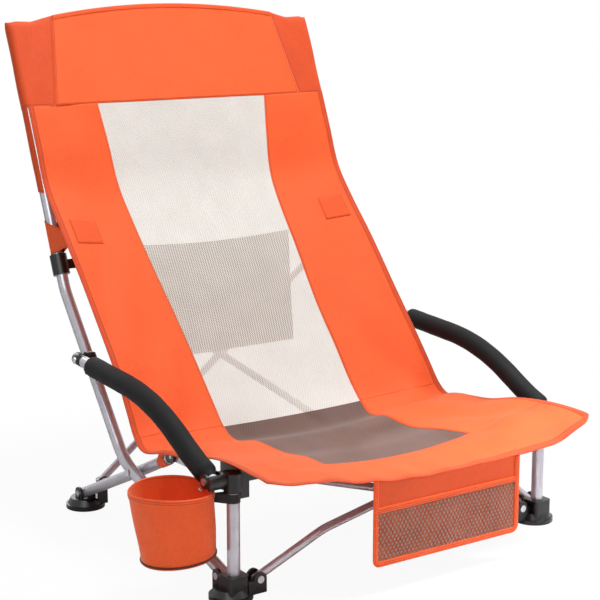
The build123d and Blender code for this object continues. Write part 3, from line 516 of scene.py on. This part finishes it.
def front_hem(body):
    """Folded hem along the seat's front edge."""
    width, height, stations_in = 12.0, 3.0, 0.3
    share = np.linspace(-1, 1, 110)[None]
    path = sling_points(np.array([FRONT]), share, HEM_DEPTH)[0]
    inside = sling_points(np.array([FRONT - stations_in]), share, HEM_DEPTH)[0]
    across, normal = hem_directions(path, inside)
    # painted shade: the hem's darker orange stands in for the light that one layer lets through and two do
    # not
    made = strip("seat_front_hem", path, across, normal, width, height, orange_double_and_shade,
                 inset=-1.0)
    return folding(made, body)


def full_left(mesh_share):
    """The sling's left edge, as a share of its half width."""
    return -1 + 0 * mesh_share


def full_right(mesh_share):
    """The sling's right edge."""
    return 1 + 0 * mesh_share


def mesh_left(mesh_share):
    """The mesh's left edge."""
    return -mesh_share


def mesh_right(mesh_share):
    """The mesh's right edge."""
    return mesh_share


def sling_pieces():
    """Back and seat panels, their hems, the two meshes and the front panel."""
    back_body, seat_body, hem_stop = "back_post_left", "side_link_left", 0.1
    cloth = dict(depth=CLOTH_DEPTH, material=orange_oxford, slot="orange_polyester", thickness=CLOTH_THICK)
    for side, name, low, high in (
        (-1.0, "left", full_left, mesh_left),
        (1.0, "right", mesh_right, full_right),
    ):
        back, points = sling_sheet(f"back_panel_{name}", TOP, CREASE, low, high,
                                   rows=120, cols=26, far=UNSEWN, **cloth)
        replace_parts(folding(back, back_body), f"back_side_panel_{name}")
        hem = sling_hem(f"back_hem_{name}", TOP, CREASE, side, back_body)
        seat, points = sling_sheet(f"seat_panel_{name}", CREASE, MESH_END, low, high,
                                   rows=90, cols=26, far=UNSEWN, **cloth)
        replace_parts(folding(seat, seat_body), f"seat_side_panel_{name}")
        hem = sling_hem(f"seat_hem_{name}", CREASE, FRONT - hem_stop, side, seat_body)
    back_mesh, points = sling_sheet("back_mesh_cloth", TOP, CREASE, mesh_left, mesh_right, rows=110, cols=40,
                                    depth=MESH_DEPTH, material=cream_knit, slot="back_mesh", thickness=0.0)
    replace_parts(folding(back_mesh, back_body), "back_mesh")
    seat_mesh, points = sling_sheet("seat_mesh_cloth", CREASE, MESH_END, mesh_left, mesh_right, rows=80,
                                    cols=40, depth=MESH_DEPTH, material=taupe_knit, slot="seat_mesh",
                                    thickness=0.0)
    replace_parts(folding(seat_mesh, seat_body), "seat_mesh")
    front, points = sling_sheet("seat_front_cloth", MESH_END, FRONT, full_left, full_right,
                                rows=36, cols=90, **cloth)
    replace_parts(folding(front, seat_body), "seat_front_panel")
    hem = front_hem(seat_body)


def headrest_top(x):
    """Height of the headrest's top above its seam: a parabola across, raised a little at the posts."""
    over_post, crown, half, lift, lift_from, lift_over = 2.0, 35.0, 304.0, 7.0, 262.0, 28.0
    arch = HEADREST_HEIGHT + over_post + crown * (1 - (x / half) ** 2)
    return arch + lift * np.clip((np.abs(x) - lift_from) / lift_over, 0, 1)


def headrest_seam(share):
    """Half width of the band between its sleeves: it narrows from the headrest's seam to its top."""
    at_seam, narrowing = 249.0, 26.0
    return at_seam - narrowing * share


def headrest_point(x, height, forward):
    """Point at a height above the headrest seam and a distance forward of the posts' axes."""
    yz = POST_BEND + POST_UP * (HEADREST_LOW + height)[..., None] + POST_OUT * forward[..., None]
    return np.stack([x + 0 * height, yz[..., 0], yz[..., 1]], -1)


def headrest():
    """Headrest band between two sleeves that slip over the back posts, and the hem along its top.

    The band sags by a half sine up and a half cosine across, with faint ripples. Its stitches follow its
    edges, a line under its top hem and a slanting joint on its right half.
    """
    face_off, sag_mm, ripple_mm, ripple_run, hem_line, thickness = 0.6, 2.5, 0.9, 37.0, 8.0, 1.4
    joint_low, joint_lean, hem_wide, hem_thick = 171.0, 40.0, 8.0, 2.8
    share = np.linspace(0, 1, 40)[:, None]
    half = headrest_seam(share)
    x = half * np.linspace(-1, 1, 76)[None]
    top = headrest_top(x)
    height = share * top
    sag = sag_mm * np.sin(share * math.pi) * np.cos(x / half * math.pi / 2)
    ripple = ripple_mm * np.sin(x / ripple_run + share * 2.2) * np.sin(share * math.pi)
    points = headrest_point(x, height, STAND_OFF + face_off - sag + ripple)[::-1]
    joint = joint_low - joint_lean * share
    ends = np.minimum(height, np.abs(top - height - hem_line) + SEAM_LINE)
    sides = np.minimum(half - np.abs(x), np.abs(x - joint) + SEAM_LINE)
    edge = np.minimum(ends, sides)
    run = np.where(sides < ends, height, x)
    uv = np.stack([x, top.max() - height], -1) / 1000
    band = surface("headrest_band", points, orange_oxford,
                   uv=uv[::-1], edge=edge[::-1], run=run[::-1], thickness=thickness)
    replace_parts(folding(band, "back_post_left"), "headrest_panel")
    rim = points[0]
    drop_dir = np.repeat(np.array([[0.0, -POST_UP[0], -POST_UP[1]]]), len(rim), 0)
    out_dir = np.repeat(np.array([[0.0, POST_OUT[0], POST_OUT[1]]]), len(rim), 0)
    hem = strip("headrest_hem", rim, drop_dir, out_dir, hem_wide, hem_thick, orange_oxford,
                inset=-0.5)
    folding(hem, "back_post_left")
    for side, name in ((-1, "left"), (1, "right")):
        sleeve(side, name)
        lower_sleeve(side, name)


def sewn_sleeve(kind, side, name, points, edge, run):
    """Doubled cloth on a back post. The right one's columns are turned round, so that both face outwards."""
    order = slice(None) if side < 0 else slice(None, None, -1)
    # painted shade: the sleeve's darker orange stands in for the light that one layer lets through and two
    # do not
    made = surface(f"{kind}_{name}", points[:, order], orange_double_and_shade,
                   edge=edge[:, order], run=run[:, order])
    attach(made, f"back_post_{name}")


def sleeve(side, name):
    """Sleeve over one back post's end: a flat front flap, a half turn round the post and a back flap.

    The back flap comes forward by the cube of its share. Near the tube's end the front and the back close on
    each other as a quarter circle does.
    """
    flap_forward, back_wider, end_over, close_mm = 21.5, 2.0, 2.0, 14.0
    meet_mm, meet_over, wave_mm, wave_up, wave_out, wave_over = 2.5, 34.0, 0.7, 17.0, 9.0, 20.0
    turn = np.linspace(0, math.pi, 18)[None]
    flap = np.linspace(0, 1, 14)[None]
    share = np.concatenate([np.linspace(0, 0.9, 26), np.linspace(0.91, 1, 14)])[:, None]
    seam = headrest_seam(share)
    x = np.concatenate([
        seam + (POST_X - seam) * flap[:, :-1], POST_X + STAND_OFF * np.sin(turn) + 0 * share,
        POST_X + (seam + back_wider - POST_X) * flap[:, 1:]], 1)
    forward = np.concatenate([
        STAND_OFF + 0 * flap[:, :-1], STAND_OFF * np.cos(turn),
        -STAND_OFF + flap_forward * flap[:, 1:] ** 3], 1)
    top = headrest_top(np.minimum(x, POST_X + end_over))
    height = share * top
    closing = np.clip((height - top + close_mm) / close_mm, 0, 1)
    keep = np.sqrt(1 - closing ** 2)
    inner = np.clip((x - seam) / meet_over, 0, 1)
    meet = STAND_OFF * (1 - inner) + meet_mm * inner
    wave = wave_mm * np.sin(height / wave_up + x / wave_out) * np.clip((x - seam) / wave_over, 0, 1) * keep
    points = headrest_point(side * x, height, forward * keep + meet * (1 - keep) + wave)
    edge = np.minimum(height, np.abs(x - seam))
    sewn_sleeve("headrest_sleeve", side, name, points, edge, height)


def lower_sleeve(side, name):
    """Lower part of a post's sleeve, from behind the side panel's edge round the post to a flap at the back.

    Its lower end is cut on a slant, longer at the front than at the back.
    """
    radius, first, overlap, slant = STAND_OFF - 0.4, 0.62, 6.0, 9.0
    flap_forward, wave_mm, wave_up, wave_out, no_seam = 18.0, 0.5, 19.0, 9.0, 40.0
    turn = np.linspace(first, math.pi, 20)[None]
    flap = np.linspace(0, 1, 14)[None, 1:]
    seam = headrest_seam(0.0)
    x = np.concatenate([POST_X + radius * np.sin(turn), POST_X + (seam - POST_X) * flap], 1)
    forward = np.concatenate([radius * np.cos(turn), -radius + flap_forward * flap ** 3], 1)
    place = np.concatenate([(turn - first) / (math.pi - first), 1 + 0 * flap], 1)
    low = SLEEVE_LOW + slant * place
    share = np.linspace(0, 1, 40)[:, None]
    height = low + (HEADREST_LOW + overlap - low) * share - HEADREST_LOW
    wave = wave_mm * np.sin(height / wave_up + x / wave_out) * np.clip(place * 6, 0, 1)
    points = headrest_point(side * x + 0 * height, height, forward + wave)
    edge = np.minimum(height + HEADREST_LOW - low, no_seam)
    sewn_sleeve("post_sleeve", side, name, points, edge, x + 0 * height)


def painted_shadow_patches():
    """Darker squares on the back panels, where the straps pull at them: a painted shadow, laid on as thin
    sheets of cloth.
    """
    high_at, low_at, inner, outer, above, thickness, cells = 2.92, 3.48, 0.76, 0.93, 0.5, 0.7, 12
    at = np.linspace(high_at, low_at, cells)
    for name, first, last in (("left", -outer, -inner), ("right", inner, outer)):
        share = np.linspace(first, last, cells)[None] + 0 * at[:, None]
        points = sling_points(at, share, -above)
        across, along = sling_runs(at, share)
        # painted shadow: a darker orange sheet where the back panels lie in shade
        made = surface(f"back_painted_shadow_patch_{name}", points, orange_tape_and_shadow,
                       uv=np.stack([across, along], -1) / 1000, thickness=thickness)
        folding(made, "back_post_left")


def strap_round(centres, ends, radius, aside, gap, rows, tail_cols):
    """Grid of a strap that goes round a bar and comes back to its sewn end.

    Each row is an arc round its centre, from one tangent to the other, between two straight tails that meet
    at the end, a gap to either side. Centres and ends run in straight lines from the first to the last row.
    """
    share = np.linspace(0, 1, rows)[:, None]
    c = centres[0] * (1 - share) + centres[1] * share
    e = ends[0] * (1 - share) + ends[1] * share
    reach = np.linalg.norm(e - c, axis=1, keepdims=True)
    b = (e - c) / reach
    first = math.acos(min(1.0, radius / float(reach.mean())))
    turn = np.linspace(first, 2 * math.pi - first, 26)[None, :, None]
    arc = c[:, None] + radius * (np.cos(turn) * b[:, None] + np.sin(turn) * aside)
    out = np.linspace(0, 1, tail_cols)[None, :-1, None]
    tail_a = (e + gap * aside)[:, None] * (1 - out) + arc[:, :1] * out
    tail_b = (e - gap * aside)[:, None] * (1 - out) + arc[:, -1:] * out
    return np.concatenate([tail_a, arc, tail_b[:, ::-1]], 1), share


def loop(name, centres, ends, radius, body):
    """Cloth strap round a tube that runs up and back, with its flat faces square to the chair's width."""
    aside = np.array([1.0, 0.0, 0.0])
    points, share = strap_round(centres, ends, radius, aside, gap=0.7, rows=10, tail_cols=9)
    length = np.linalg.norm(np.diff(points, axis=1), axis=2).cumsum(1)
    run = np.concatenate([0 * length[:, :1], length], 1)
    width = np.linalg.norm(centres[1] - centres[0])
    edge = np.minimum(share, 1 - share) * width + 0 * run
    made = surface(name, points, orange_oxford, edge=edge, run=run)
    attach(made, body)
    return made, points


def straps():
    """Loops that tie the sling's edges to the back posts."""
    low_along, high_along, radius, under = 61.0, 116.0, 11.0, 2.9
    at = np.array([3.5, 3.1])
    for side, name in ((-1.0, "left"), (1.0, "right")):
        ends = sling_points(at, np.full((2, 1), side), under)[:, 0]
        ends[:, 0] = side * POST_X
        centres = np.array([[side * POST_X, *(POST_BEND + POST_UP * d)] for d in (low_along, high_along)])
        made, points = loop(f"back_strap_cloth_{name}", centres, ends, radius, f"rear_hub_{name}")
        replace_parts(made, f"back_strap_{name}")


def seat_loops():
    """Cloth loops that tie the seat's rear corners to the rear legs, just behind their knuckles."""
    knuckle, side_cross = np.array([193.5, 162.0]), np.array([290.0, 116.0])
    leg_x, high_along, low_along, radius, half, under = 275.9, 20.0, 42.0, 10.0, 302.0, 2.2
    down = unit(side_cross - knuckle)
    at = np.array([9.45, 9.0])
    for side, name in ((-1.0, "left"), (1.0, "right")):
        centres = np.array([[side * leg_x, *(knuckle + down * d)] for d in (high_along, low_along)])
        ends = sling_points(at, np.full((2, 1), side * leg_x / half), under)[:, 0]
        ends[:, 0] = side * leg_x
        made, points = loop(f"seat_loop_{name}", centres, ends, radius, f"rear_leg_{name}")


def rear_pocket():
    """Pouch that hangs from a seam across the back mesh down to a free lower edge.

    Straight lines join the seam and the edge, with a slow ripple and a belly that fade out at both.
    """
    seam_at, under, low_y, low_z, low_half = 3.5, 3.4, 484.8, 235.0, 147.0
    ripple_mm, belly_mm = 1.5, 2.0
    share = np.linspace(-1, 1, 44)[None]
    mesh_share = smooth_rows(STATIONS, np.array([seam_at]))[:, 6:7]
    top = sling_points(np.array([seam_at]), share * mesh_share, under)[0]
    low = share[0][:, None] * np.array([low_half, 0.0, 0.0]) + np.array([0.0, low_y, low_z])
    f = np.linspace(0, 1, 40)[:, None]
    points = top[None] * (1 - f[..., None]) + low[None] * f[..., None]
    bulge = ripple_mm * np.sin(share * 7 + f * 2) + belly_mm * (1 - share ** 2)
    points[..., 1] += bulge * np.sin(f * math.pi)
    across = points[..., 0]
    along = points[0, 0, 2] - points[..., 2]
    edge = np.minimum(low_half - np.abs(across), (1 - f) * (along.max() - along.min()))
    made = surface("rear_pocket_cloth", points, beige_lining,
                   uv=np.stack([across, along], -1) / 1000, edge=edge, run=along)
    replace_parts(folding(made, "back_post_left"), "rear_pocket")


def front_pocket():
    """Flat pocket under the seat's front edge: a plain backing, a net over its lower part, and bound edges.
    Backing and net are painted darker, as painted shade under that edge.

    The net bulges by the product of two half sines. Tapes run round the pocket and over its opening.
    """
    low, high = (np.array(p) * 1000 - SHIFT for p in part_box("front_pocket_binding"))
    net_low, net_high = (np.array(p) * 1000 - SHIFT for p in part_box("front_pocket_mesh"))
    hem, corner_r, tape_thick, tape_step, tape_under, opening_in = 9.0, 12.0, 3.2, 3.0, 1.6, 2.0
    back_in, back_under, back_gap, wave_mm, wave_run = 5.0, 1.0, 0.6, 0.7, 41.0
    net_under, net_over, net_gap, belly_mm, ripple_mm, ripple_turn = 3.0, 2.0, 0.9, 3.5, 0.8, 17.0
    body = "side_link_left"
    middle_y = (low[1] + high[1]) / 2
    half = STATIONS[int(FRONT), 2]
    x = np.linspace(low[0] + back_in, high[0] - back_in, 50)[None]
    top = sling_points(np.array([FRONT]), x / half, back_under)[..., 2]
    v = np.linspace(0, 1, 30)[:, None]
    z = top + (low[2] + back_in - top) * v
    wave = wave_mm * np.sin(x / wave_run) * np.sin(v * math.pi)
    backing = np.stack([x + 0 * z, high[1] - back_gap + wave + 0 * z, z], -1)
    # painted shade: the backing takes the darker orange for the shadow under the seat's front edge
    back = folding(surface("front_pocket_backing", backing, orange_double_and_shade), body)
    x = np.linspace(low[0] + hem - net_under, high[0] - hem + net_under, 50)[None]
    z = np.linspace(net_high[2] + net_over, net_low[2] - net_under, 30)[:, None]
    u = (x - x.min()) / (x.max() - x.min())
    v = (z.max() - z) / (z.max() - z.min())
    belly = (belly_mm * np.sin(u * math.pi) + ripple_mm * np.sin(u * ripple_turn)) * np.sin(v * math.pi)
    face = np.stack([x + 0 * z, low[1] + net_gap - belly, z + 0 * x], -1)
    # painted shade: the net's brown yarn and dark holes stand in for a paler net over the shaded backing
    net = folding(surface("front_pocket_net", face, pocket_knit), body)
    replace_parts(net, "front_pocket_mesh")
    tops = sling_points(np.array([FRONT]), np.array([[low[0], high[0]]]) / half, tape_under)[0, :, 2]
    corners = [(low[0], tops[0]), (low[0], low[2]), (high[0], low[2]), (high[0], tops[1])]
    outline = rounded_path(corners, corner_r, tape_step)[0]
    along = unit(np.gradient(outline, axis=0))
    x = np.linspace(low[0] + opening_in, high[0] - opening_in, 40)
    opening = np.stack([x, 0 * x + net_high[2] + hem], 1)
    tapes = []
    for key, line, inward in (
        ("edge", outline, np.stack([-along[:, 1], along[:, 0]], 1)),
        ("opening", opening, np.repeat(np.array([[0.0, -1.0]]), len(x), 0)),
    ):
        path = np.stack([line[:, 0], np.full(len(line), middle_y), line[:, 1]], 1)
        across = np.stack([inward[:, 0], 0 * inward[:, 0], inward[:, 1]], 1)
        front_dir = np.repeat(np.array([[0.0, -1.0, 0.0]]), len(line), 0)
        tape = strip(f"front_pocket_{key}_tape", path, across, front_dir, hem, tape_thick, orange_tape_and_shadow)
        tapes.append(folding(tape, body))
    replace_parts(tapes[0], "front_pocket_binding")


def cup_points(radius, turn, height):
    """Points of the hanging cup at a radius and turn about its axis and a height above its rim's middle.

    From the rim down the axis swings sideways and the level rings tilt, both in proportion to the depth.
    """
    depth = -height / CUP_HEIGHT
    out = radius * np.cos(turn)
    side = radius * np.sin(turn)
    swing = CUP_SWING * depth + out
    tilt = np.tan(CUP_RIM_TILT + (CUP_BOTTOM_TILT - CUP_RIM_TILT) * depth)
    return CUP_RIM + np.stack([
        swing * CUP_TOWARD[0] - side * CUP_TOWARD[1],
        swing * CUP_TOWARD[1] + side * CUP_TOWARD[0],
        height + out * tilt], -1)


def rim_bend(turn):
    """How far the soft rim stands out of round, and how far it rises, at a turn about the cup's axis."""
    return np.cos(2 * turn + 0.6) + 0.7 * np.cos(5 * turn + 1.1), -1.8 * np.cos(2 * turn)


def cup_holder():
    """Soft cup: a sewn wall with a hemmed rim, a flat bottom with a dark band round its edge, an eyelet and
    its strap.

    The grid goes from the middle of the bottom out, up the wall, over the rim and back down inside. The wall
    widens in a straight line, with seven shallow creases and a rim that is a little out of round.
    """
    wall, wall_in, rim_drop, crease_mm, body = 2.0, 1.6, 1.5, 1.1, "front_leg_left"
    base_share, inner_share, tape_thick = 0.97, 0.96, 2.2
    hem_in, hem_drop, hem_wide, band_in, band_up, band_wide = 1.7, 1.2, 9.0, 0.8, 3.4, 3.2
    turn = np.linspace(0, 2 * math.pi, 96, endpoint=False)[None]
    share = np.concatenate([np.linspace(0, 0.94, 30), [0.97, 0.99, 1.0]])[:, None]
    bend, rise = rim_bend(turn)
    crease = crease_mm * np.sin(7 * turn + 4 * share) * np.sin(share * math.pi)
    radius = CUP_BOTTOM_R + (CUP_TOP_R - CUP_BOTTOM_R) * share - wall_in + bend * share + crease
    height = -CUP_HEIGHT * (1 - share) - rim_drop + rise * share ** 3
    foot = np.array([0.0, 0.5, 0.9])[:, None]
    base_r = foot * CUP_BOTTOM_R * base_share + 0 * turn
    base_h = -CUP_HEIGHT + 0 * base_r
    r = np.concatenate([base_r, radius, (radius - wall)[::-1], base_r[::-1] * inner_share])
    h = np.concatenate([base_h, height, height[::-1], base_h[::-1] + wall])
    points = cup_points(r, turn + 0 * r, h)
    run = turn * CUP_TOP_R + 0 * h
    cup = surface("cup_holder_cloth", points, orange_oxford, wrap=(False, True),
                  uv=np.stack([run, h], -1) / 1000, edge=-h, run=run, outward=True)
    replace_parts(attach(cup, body), "cup_holder")
    around = np.linspace(0, 2 * math.pi, 97)
    bend, rise = rim_bend(around)
    for name, at_r, at_h, width, finish in (
        ("cup_rim_hem", CUP_TOP_R - hem_in + bend, rise - hem_drop, hem_wide, orange_oxford),
        ("cup_bottom_dark_band", CUP_BOTTOM_R - band_in + 0 * bend, band_up - CUP_HEIGHT + 0 * rise,
         band_wide, dark_bottom_band),
    ):
        path = cup_points(at_r, around, at_h)
        outward = cup_points(at_r + 1, around, at_h) - path
        down = cup_points(at_r, around, at_h - 1) - path
        tape = strip(name, path, down, outward, width, tape_thick, finish)
        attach(tape, body)
    inward, eyelet_in, eyelet_drop = np.array([-0.99, -0.14, 0.0]), 4.4, 12.0
    spot = np.array([*(CUP_RIM[:2] - inward[:2] * (CUP_TOP_R - eyelet_in)), CUP_RIM[2] - eyelet_drop])
    ring = eyelet("cup_eyelet", spot, inward, ring_r=5.2, wire_r=1.4)
    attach(ring, body)
    cup_strap()


def cup_strap():
    """Level webbing strap round the left front post, with its two tails sewn to the cup's wall."""
    low, high, run_mm, wall_in, radius = 146.3, 159.7, 150.0, 1.5, TUBE_R + 1.0
    to_cup = unit(CUP_RIM[:2] - np.array([-POST_X, 0.0]))
    wall_spot = CUP_RIM[:2] - to_cup * (CUP_TOP_R - wall_in)
    centres = np.array([[-POST_X, 0.0, low], [-POST_X, 0.0, high]])
    ends = np.array([[*wall_spot, low], [*wall_spot, high]])
    aside = np.array([-to_cup[1], to_cup[0], 0.0])
    points, share = strap_round(centres, ends, radius, aside, gap=0.8, rows=8, tail_cols=7)
    edge = np.minimum(share, 1 - share) * (high - low) + np.zeros(points.shape[:2])
    run = np.linspace(0, 1, points.shape[1])[None] * run_mm + 0 * edge
    made = surface("cup_holder_strap_cloth", points, black_webbing, edge=edge, run=run)
    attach(made, "front_leg_left")
    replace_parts(made, "cup_holder_strap")


def eyelet(name, spot, axis, ring_r, wire_r):
    """Plated eyelet pressed through the cloth: a ring of oval section, square to its axis."""
    deeper, up = 1.5, np.array([0.0, 0.0, 1.0])
    side = np.cross(up, axis)
    turn = np.linspace(0, 2 * math.pi, 40, endpoint=False)[:, None]
    tube = np.linspace(0, 2 * math.pi, 14, endpoint=False)[None]
    out = ring_r + wire_r * np.cos(tube)
    points = (spot + (out * np.cos(turn))[..., None] * side + (out * np.sin(turn))[..., None] * up
              + (deeper * wire_r * np.sin(tube) + 0 * turn)[..., None] * axis)
    return surface(name, points, zinc_steel, wrap=(True, True), outward=True)


def rounded_path(corners, radius, step):
    """Points a step apart along straight runs joined by arcs of one radius."""
    corners = np.asarray(corners, float)
    runs = [corners[:1]]
    for before, corner, after in zip(corners[:-2], corners[1:-1], corners[2:]):
        a, b = unit(before - corner), unit(after - corner)
        half = math.acos(float(a @ b)) / 2
        middle = corner + unit(a + b) * radius / math.sin(half)
        p = corner + a * radius / math.tan(half) - middle
        q = corner + b * radius / math.tan(half) - middle
        sweep = math.pi - 2 * half
        f = np.linspace(0, 1, 24)[:, None]
        runs.append(middle + (np.sin((1 - f) * sweep) * p + np.sin(f * sweep) * q) / math.sin(sweep))
    line = np.concatenate([*runs, corners[-1:]])
    along = run_lengths(line)
    places = np.linspace(0, along[-1], int(along[-1] / step) + 2)
    return np.stack([np.interp(places, along, line[:, k]) for k in range(2)], 1), places


def foam_arms():
    """Foam sleeves of the armrests: a tube along the arm's bow, rounded at the back, tapered at the front.

    The bow is rounder than the tube's own bends. Rows run out along the foam and back along its bore.
    """
    foam_r, bow_r, front_bare, rear_bare, taper, step = 16.5, 360.0, 2.5, 40.0, 16.0, 3.0
    round_over, round_in, slack, dent, dent_run, dent_swell = 5.0, 4.5, 0.25, 0.18, 9.0, 23.0
    neck_gap, bore_gap = 0.4, 0.1
    corners = ARM_CORNERS.copy()
    corners[0] += unit(corners[1] - corners[0]) * front_bare
    corners[-1] += unit(corners[-2] - corners[-1]) * rear_bare
    line, places = rounded_path(corners, bow_r, step)
    tangent = unit(np.gradient(line, axis=0))
    from_end = np.minimum(places, places[-1] - places)
    rounded = np.sqrt(np.clip(1 - (1 - np.clip(from_end / round_over, 0, 1)) ** 2, 0, 1))
    dents = dent * np.sin(places / dent_run) * np.sin(places / dent_swell)
    outer = foam_r - round_in * (1 - rounded) - slack + dents
    neck = np.clip(places / taper, 0, 1) ** 2
    outer = np.minimum(outer, TUBE_R + neck_gap + (foam_r - TUBE_R) * neck)
    bore = np.full(len(places), TUBE_R + bore_gap)
    radius = np.concatenate([outer, bore])[:, None]
    spine = np.concatenate([line, line[::-1]])
    direction = np.concatenate([tangent, tangent[::-1]])
    turn = np.linspace(0, 2 * math.pi, 40, endpoint=False)[None]
    for side, name in ((-1, "left"), (1, "right")):
        points = np.stack([
            side * ARM_X + radius * np.cos(turn),
            spine[:, :1] - direction[:, 1:] * radius * np.sin(turn),
            spine[:, 1:] + direction[:, :1] * radius * np.sin(turn)], -1)
        made = surface(f"arm_foam_{name}", points, arm_foam, wrap=(True, True), outward=True)
        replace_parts(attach(made, f"armrest_{name}"), f"armrest_foam_{name}")


def arm_end_caps():
    """Black plugs over the rear ends of the armrest tubes: a short sleeve with a domed end."""
    cap_r, mouth_r, long, dome_mm, past_end = TUBE_R + 0.5, TUBE_R - 0.5, 24.0, 2.0, 0.8
    before, rear = ARM_CORNERS[-2:]
    forward = unit(before - rear)
    up = np.array([-forward[1], forward[0]])
    turn = np.linspace(0, 2 * math.pi, 36, endpoint=False)[None]
    dome = np.linspace(0, math.pi / 2, 8)
    radius = np.concatenate([cap_r * np.sin(dome), [cap_r, cap_r, mouth_r]])[:, None]
    front = long - TUBE_R
    place = np.concatenate([-TUBE_R - past_end - dome_mm * np.cos(dome), [0.0, front, front]])[:, None]
    for side, name in ((-1, "left"), (1, "right")):
        points = np.stack([
            side * ARM_X + radius * np.cos(turn),
            rear[0] + forward[0] * place + up[0] * radius * np.sin(turn),
            rear[1] + forward[1] * place + up[1] * radius * np.sin(turn)], -1)
        made = surface(f"arm_end_cap_{name}", points, black_nylon, wrap=(False, True),
                       outward=True)
        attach(made, f"armrest_{name}")


def white_room():
    """Surroundings that look and reflect white, and light the chair only faintly."""
    fill_light = 0.14
    world = bpy.data.worlds.new("white_room")
    bpy.context.scene.world = world
    world.use_nodes = True
    tree = world.node_tree
    tree.nodes.clear()
    ray = add_node(tree, "LightPath")
    seen = add_node(tree, "Math", {0: ray.outputs["Is Camera Ray"], 1: ray.outputs["Is Glossy Ray"]},
                    operation="MAXIMUM")
    seen = add_node(tree, "Math", {0: seen.outputs[0], 1: ray.outputs["Is Transmission Ray"]},
                    operation="MAXIMUM")
    soft = add_node(tree, "Background", {0: (1, 1, 1, 1), 1: fill_light})
    white = add_node(tree, "Background", {0: (1, 1, 1, 1), 1: 1.0})
    mix = add_node(tree, "MixShader", {0: seen.outputs[0], 1: soft.outputs[0], 2: white.outputs[0]})
    add_node(tree, "OutputWorld", {0: mix.outputs[0]})


def white_floor():
    """Matt white paint that keeps a soft shadow near the chair and glows to pure white further away.

    The glow is mixed in for what the camera sees, by a smooth step of the distance. Through the mesh less of
    it shows, so that the floor under the chair looks shaded there.
    """
    near_m, far_m, near_glow, lost_through_mesh = 0.45, 0.95, 0.93, 0.75
    half_m, under_m = 9.0, 0.0005
    material, tree = new_material("white_floor")
    ray = add_node(tree, "LightPath")
    seen = add_node(tree, "Math", {0: ray.outputs["Is Camera Ray"], 1: ray.outputs["Is Transmission Ray"]},
                    operation="MAXIMUM")
    coord = add_node(tree, "TexCoord")
    away = add_node(tree, "VectorMath", {0: coord.outputs["Object"]}, operation="LENGTH")
    sieved = add_node(tree, "Math", {0: ray.outputs["Transparent Depth"], 1: 1.0}, operation="MINIMUM")
    near_share = add_node(tree, "Math", {
        0: sieved.outputs[0], 1: -lost_through_mesh, 2: near_glow}, operation="MULTIPLY_ADD")
    shine = add_node(tree, "MapRange", {
        "Value": away.outputs["Value"], "From Min": near_m, "From Max": far_m,
        "To Min": near_share.outputs[0], "To Max": 1.0}, interpolation_type="SMOOTHSTEP")
    share = add_node(tree, "Math", {0: seen.outputs[0], 1: shine.outputs[0]}, operation="MULTIPLY")
    paint = add_node(tree, "BsdfDiffuse", {0: colour("#F4F4F4")})
    glow = add_node(tree, "Emission", {0: (1, 1, 1, 1), 1: 1.0})
    mix = add_node(tree, "MixShader", {0: share.outputs[0], 1: paint.outputs[0], 2: glow.outputs[0]})
    add_node(tree, "OutputMaterial", {0: mix.outputs[0]})
    mesh = bpy.data.meshes.new("floor")
    corners = [(x * half_m, y * half_m, -under_m) for x, y in ((-1, -1), (1, -1), (1, 1), (-1, 1))]
    mesh.from_pydata(corners, [], [(0, 1, 2, 3)])
    mesh.materials.append(material)
    floor = bpy.data.objects.new("floor", mesh)
    bpy.context.scene.collection.objects.link(floor)


def lamps():
    """Large soft lamps round the chair, and a soft spot on the seat's right front corner."""
    middle, seat_corner = (0.0, 0.0, 0.35), (0.24, -0.42, 0.2)
    for name, place, aim, width, cone_deg, watts in (
        ("key_lamp", (-1.9, -1.9, 1.8), middle, 1.6, None, 20.0),
        ("top_lamp", (0.3, -0.3, 2.6), middle, 1.0, None, 50.0),
        ("right_lamp", (1.6, -2.0, 1.6), middle, 1.2, None, 9.0),
        ("seat_lamp", (0.9, -0.9, 1.8), seat_corner, 0.4, 25, 185.0),
        ("back_lamp", (0.3, 2.6, 1.7), middle, 1.8, None, 30.0),
    ):
        lamp = bpy.data.lights.new(name, "SPOT" if cone_deg else "AREA")
        lamp.energy = watts
        if cone_deg:
            lamp.spot_size = math.radians(cone_deg)
            lamp.spot_blend = 1.0
            lamp.shadow_soft_size = width / 2
        else:
            lamp.size = width
        made = bpy.data.objects.new(name, lamp)
        made.location = place
        made.rotation_euler = (Vector(aim) - Vector(place)).to_track_quat("-Z", "Y").to_euler()
        bpy.context.scene.collection.objects.link(made)


def photo_camera():
    """Camera at the photograph's place, direction and angle of view."""
    eye = (np.array([-1467.44, -1834.65, 880.77]) + SHIFT) / 1000
    forward = Vector((0.56317554, 0.80197598, -0.19916785))
    focal_px, frame_px, sensor_mm = 1605.2, 600.0, 36.0
    lens = bpy.data.cameras.new("camera")
    lens.sensor_width = sensor_mm
    lens.lens = focal_px / frame_px * sensor_mm
    camera = bpy.data.objects.new("camera", lens)
    turned = forward.to_track_quat("-Z", "Y").to_matrix().to_4x4()
    camera.matrix_world = Matrix.Translation(Vector(eye)) @ turned
    bpy.context.scene.collection.objects.link(camera)
    bpy.context.scene.camera = camera


bpy.context.scene.view_settings.view_transform = "Standard"
white_room()
white_floor()
lamps()
photo_camera()
finish_frame()
sling_pieces()
headrest()
straps()
seat_loops()
rear_pocket()
painted_shadow_patches()
front_pocket()
cup_holder()
foam_arms()
arm_end_caps()
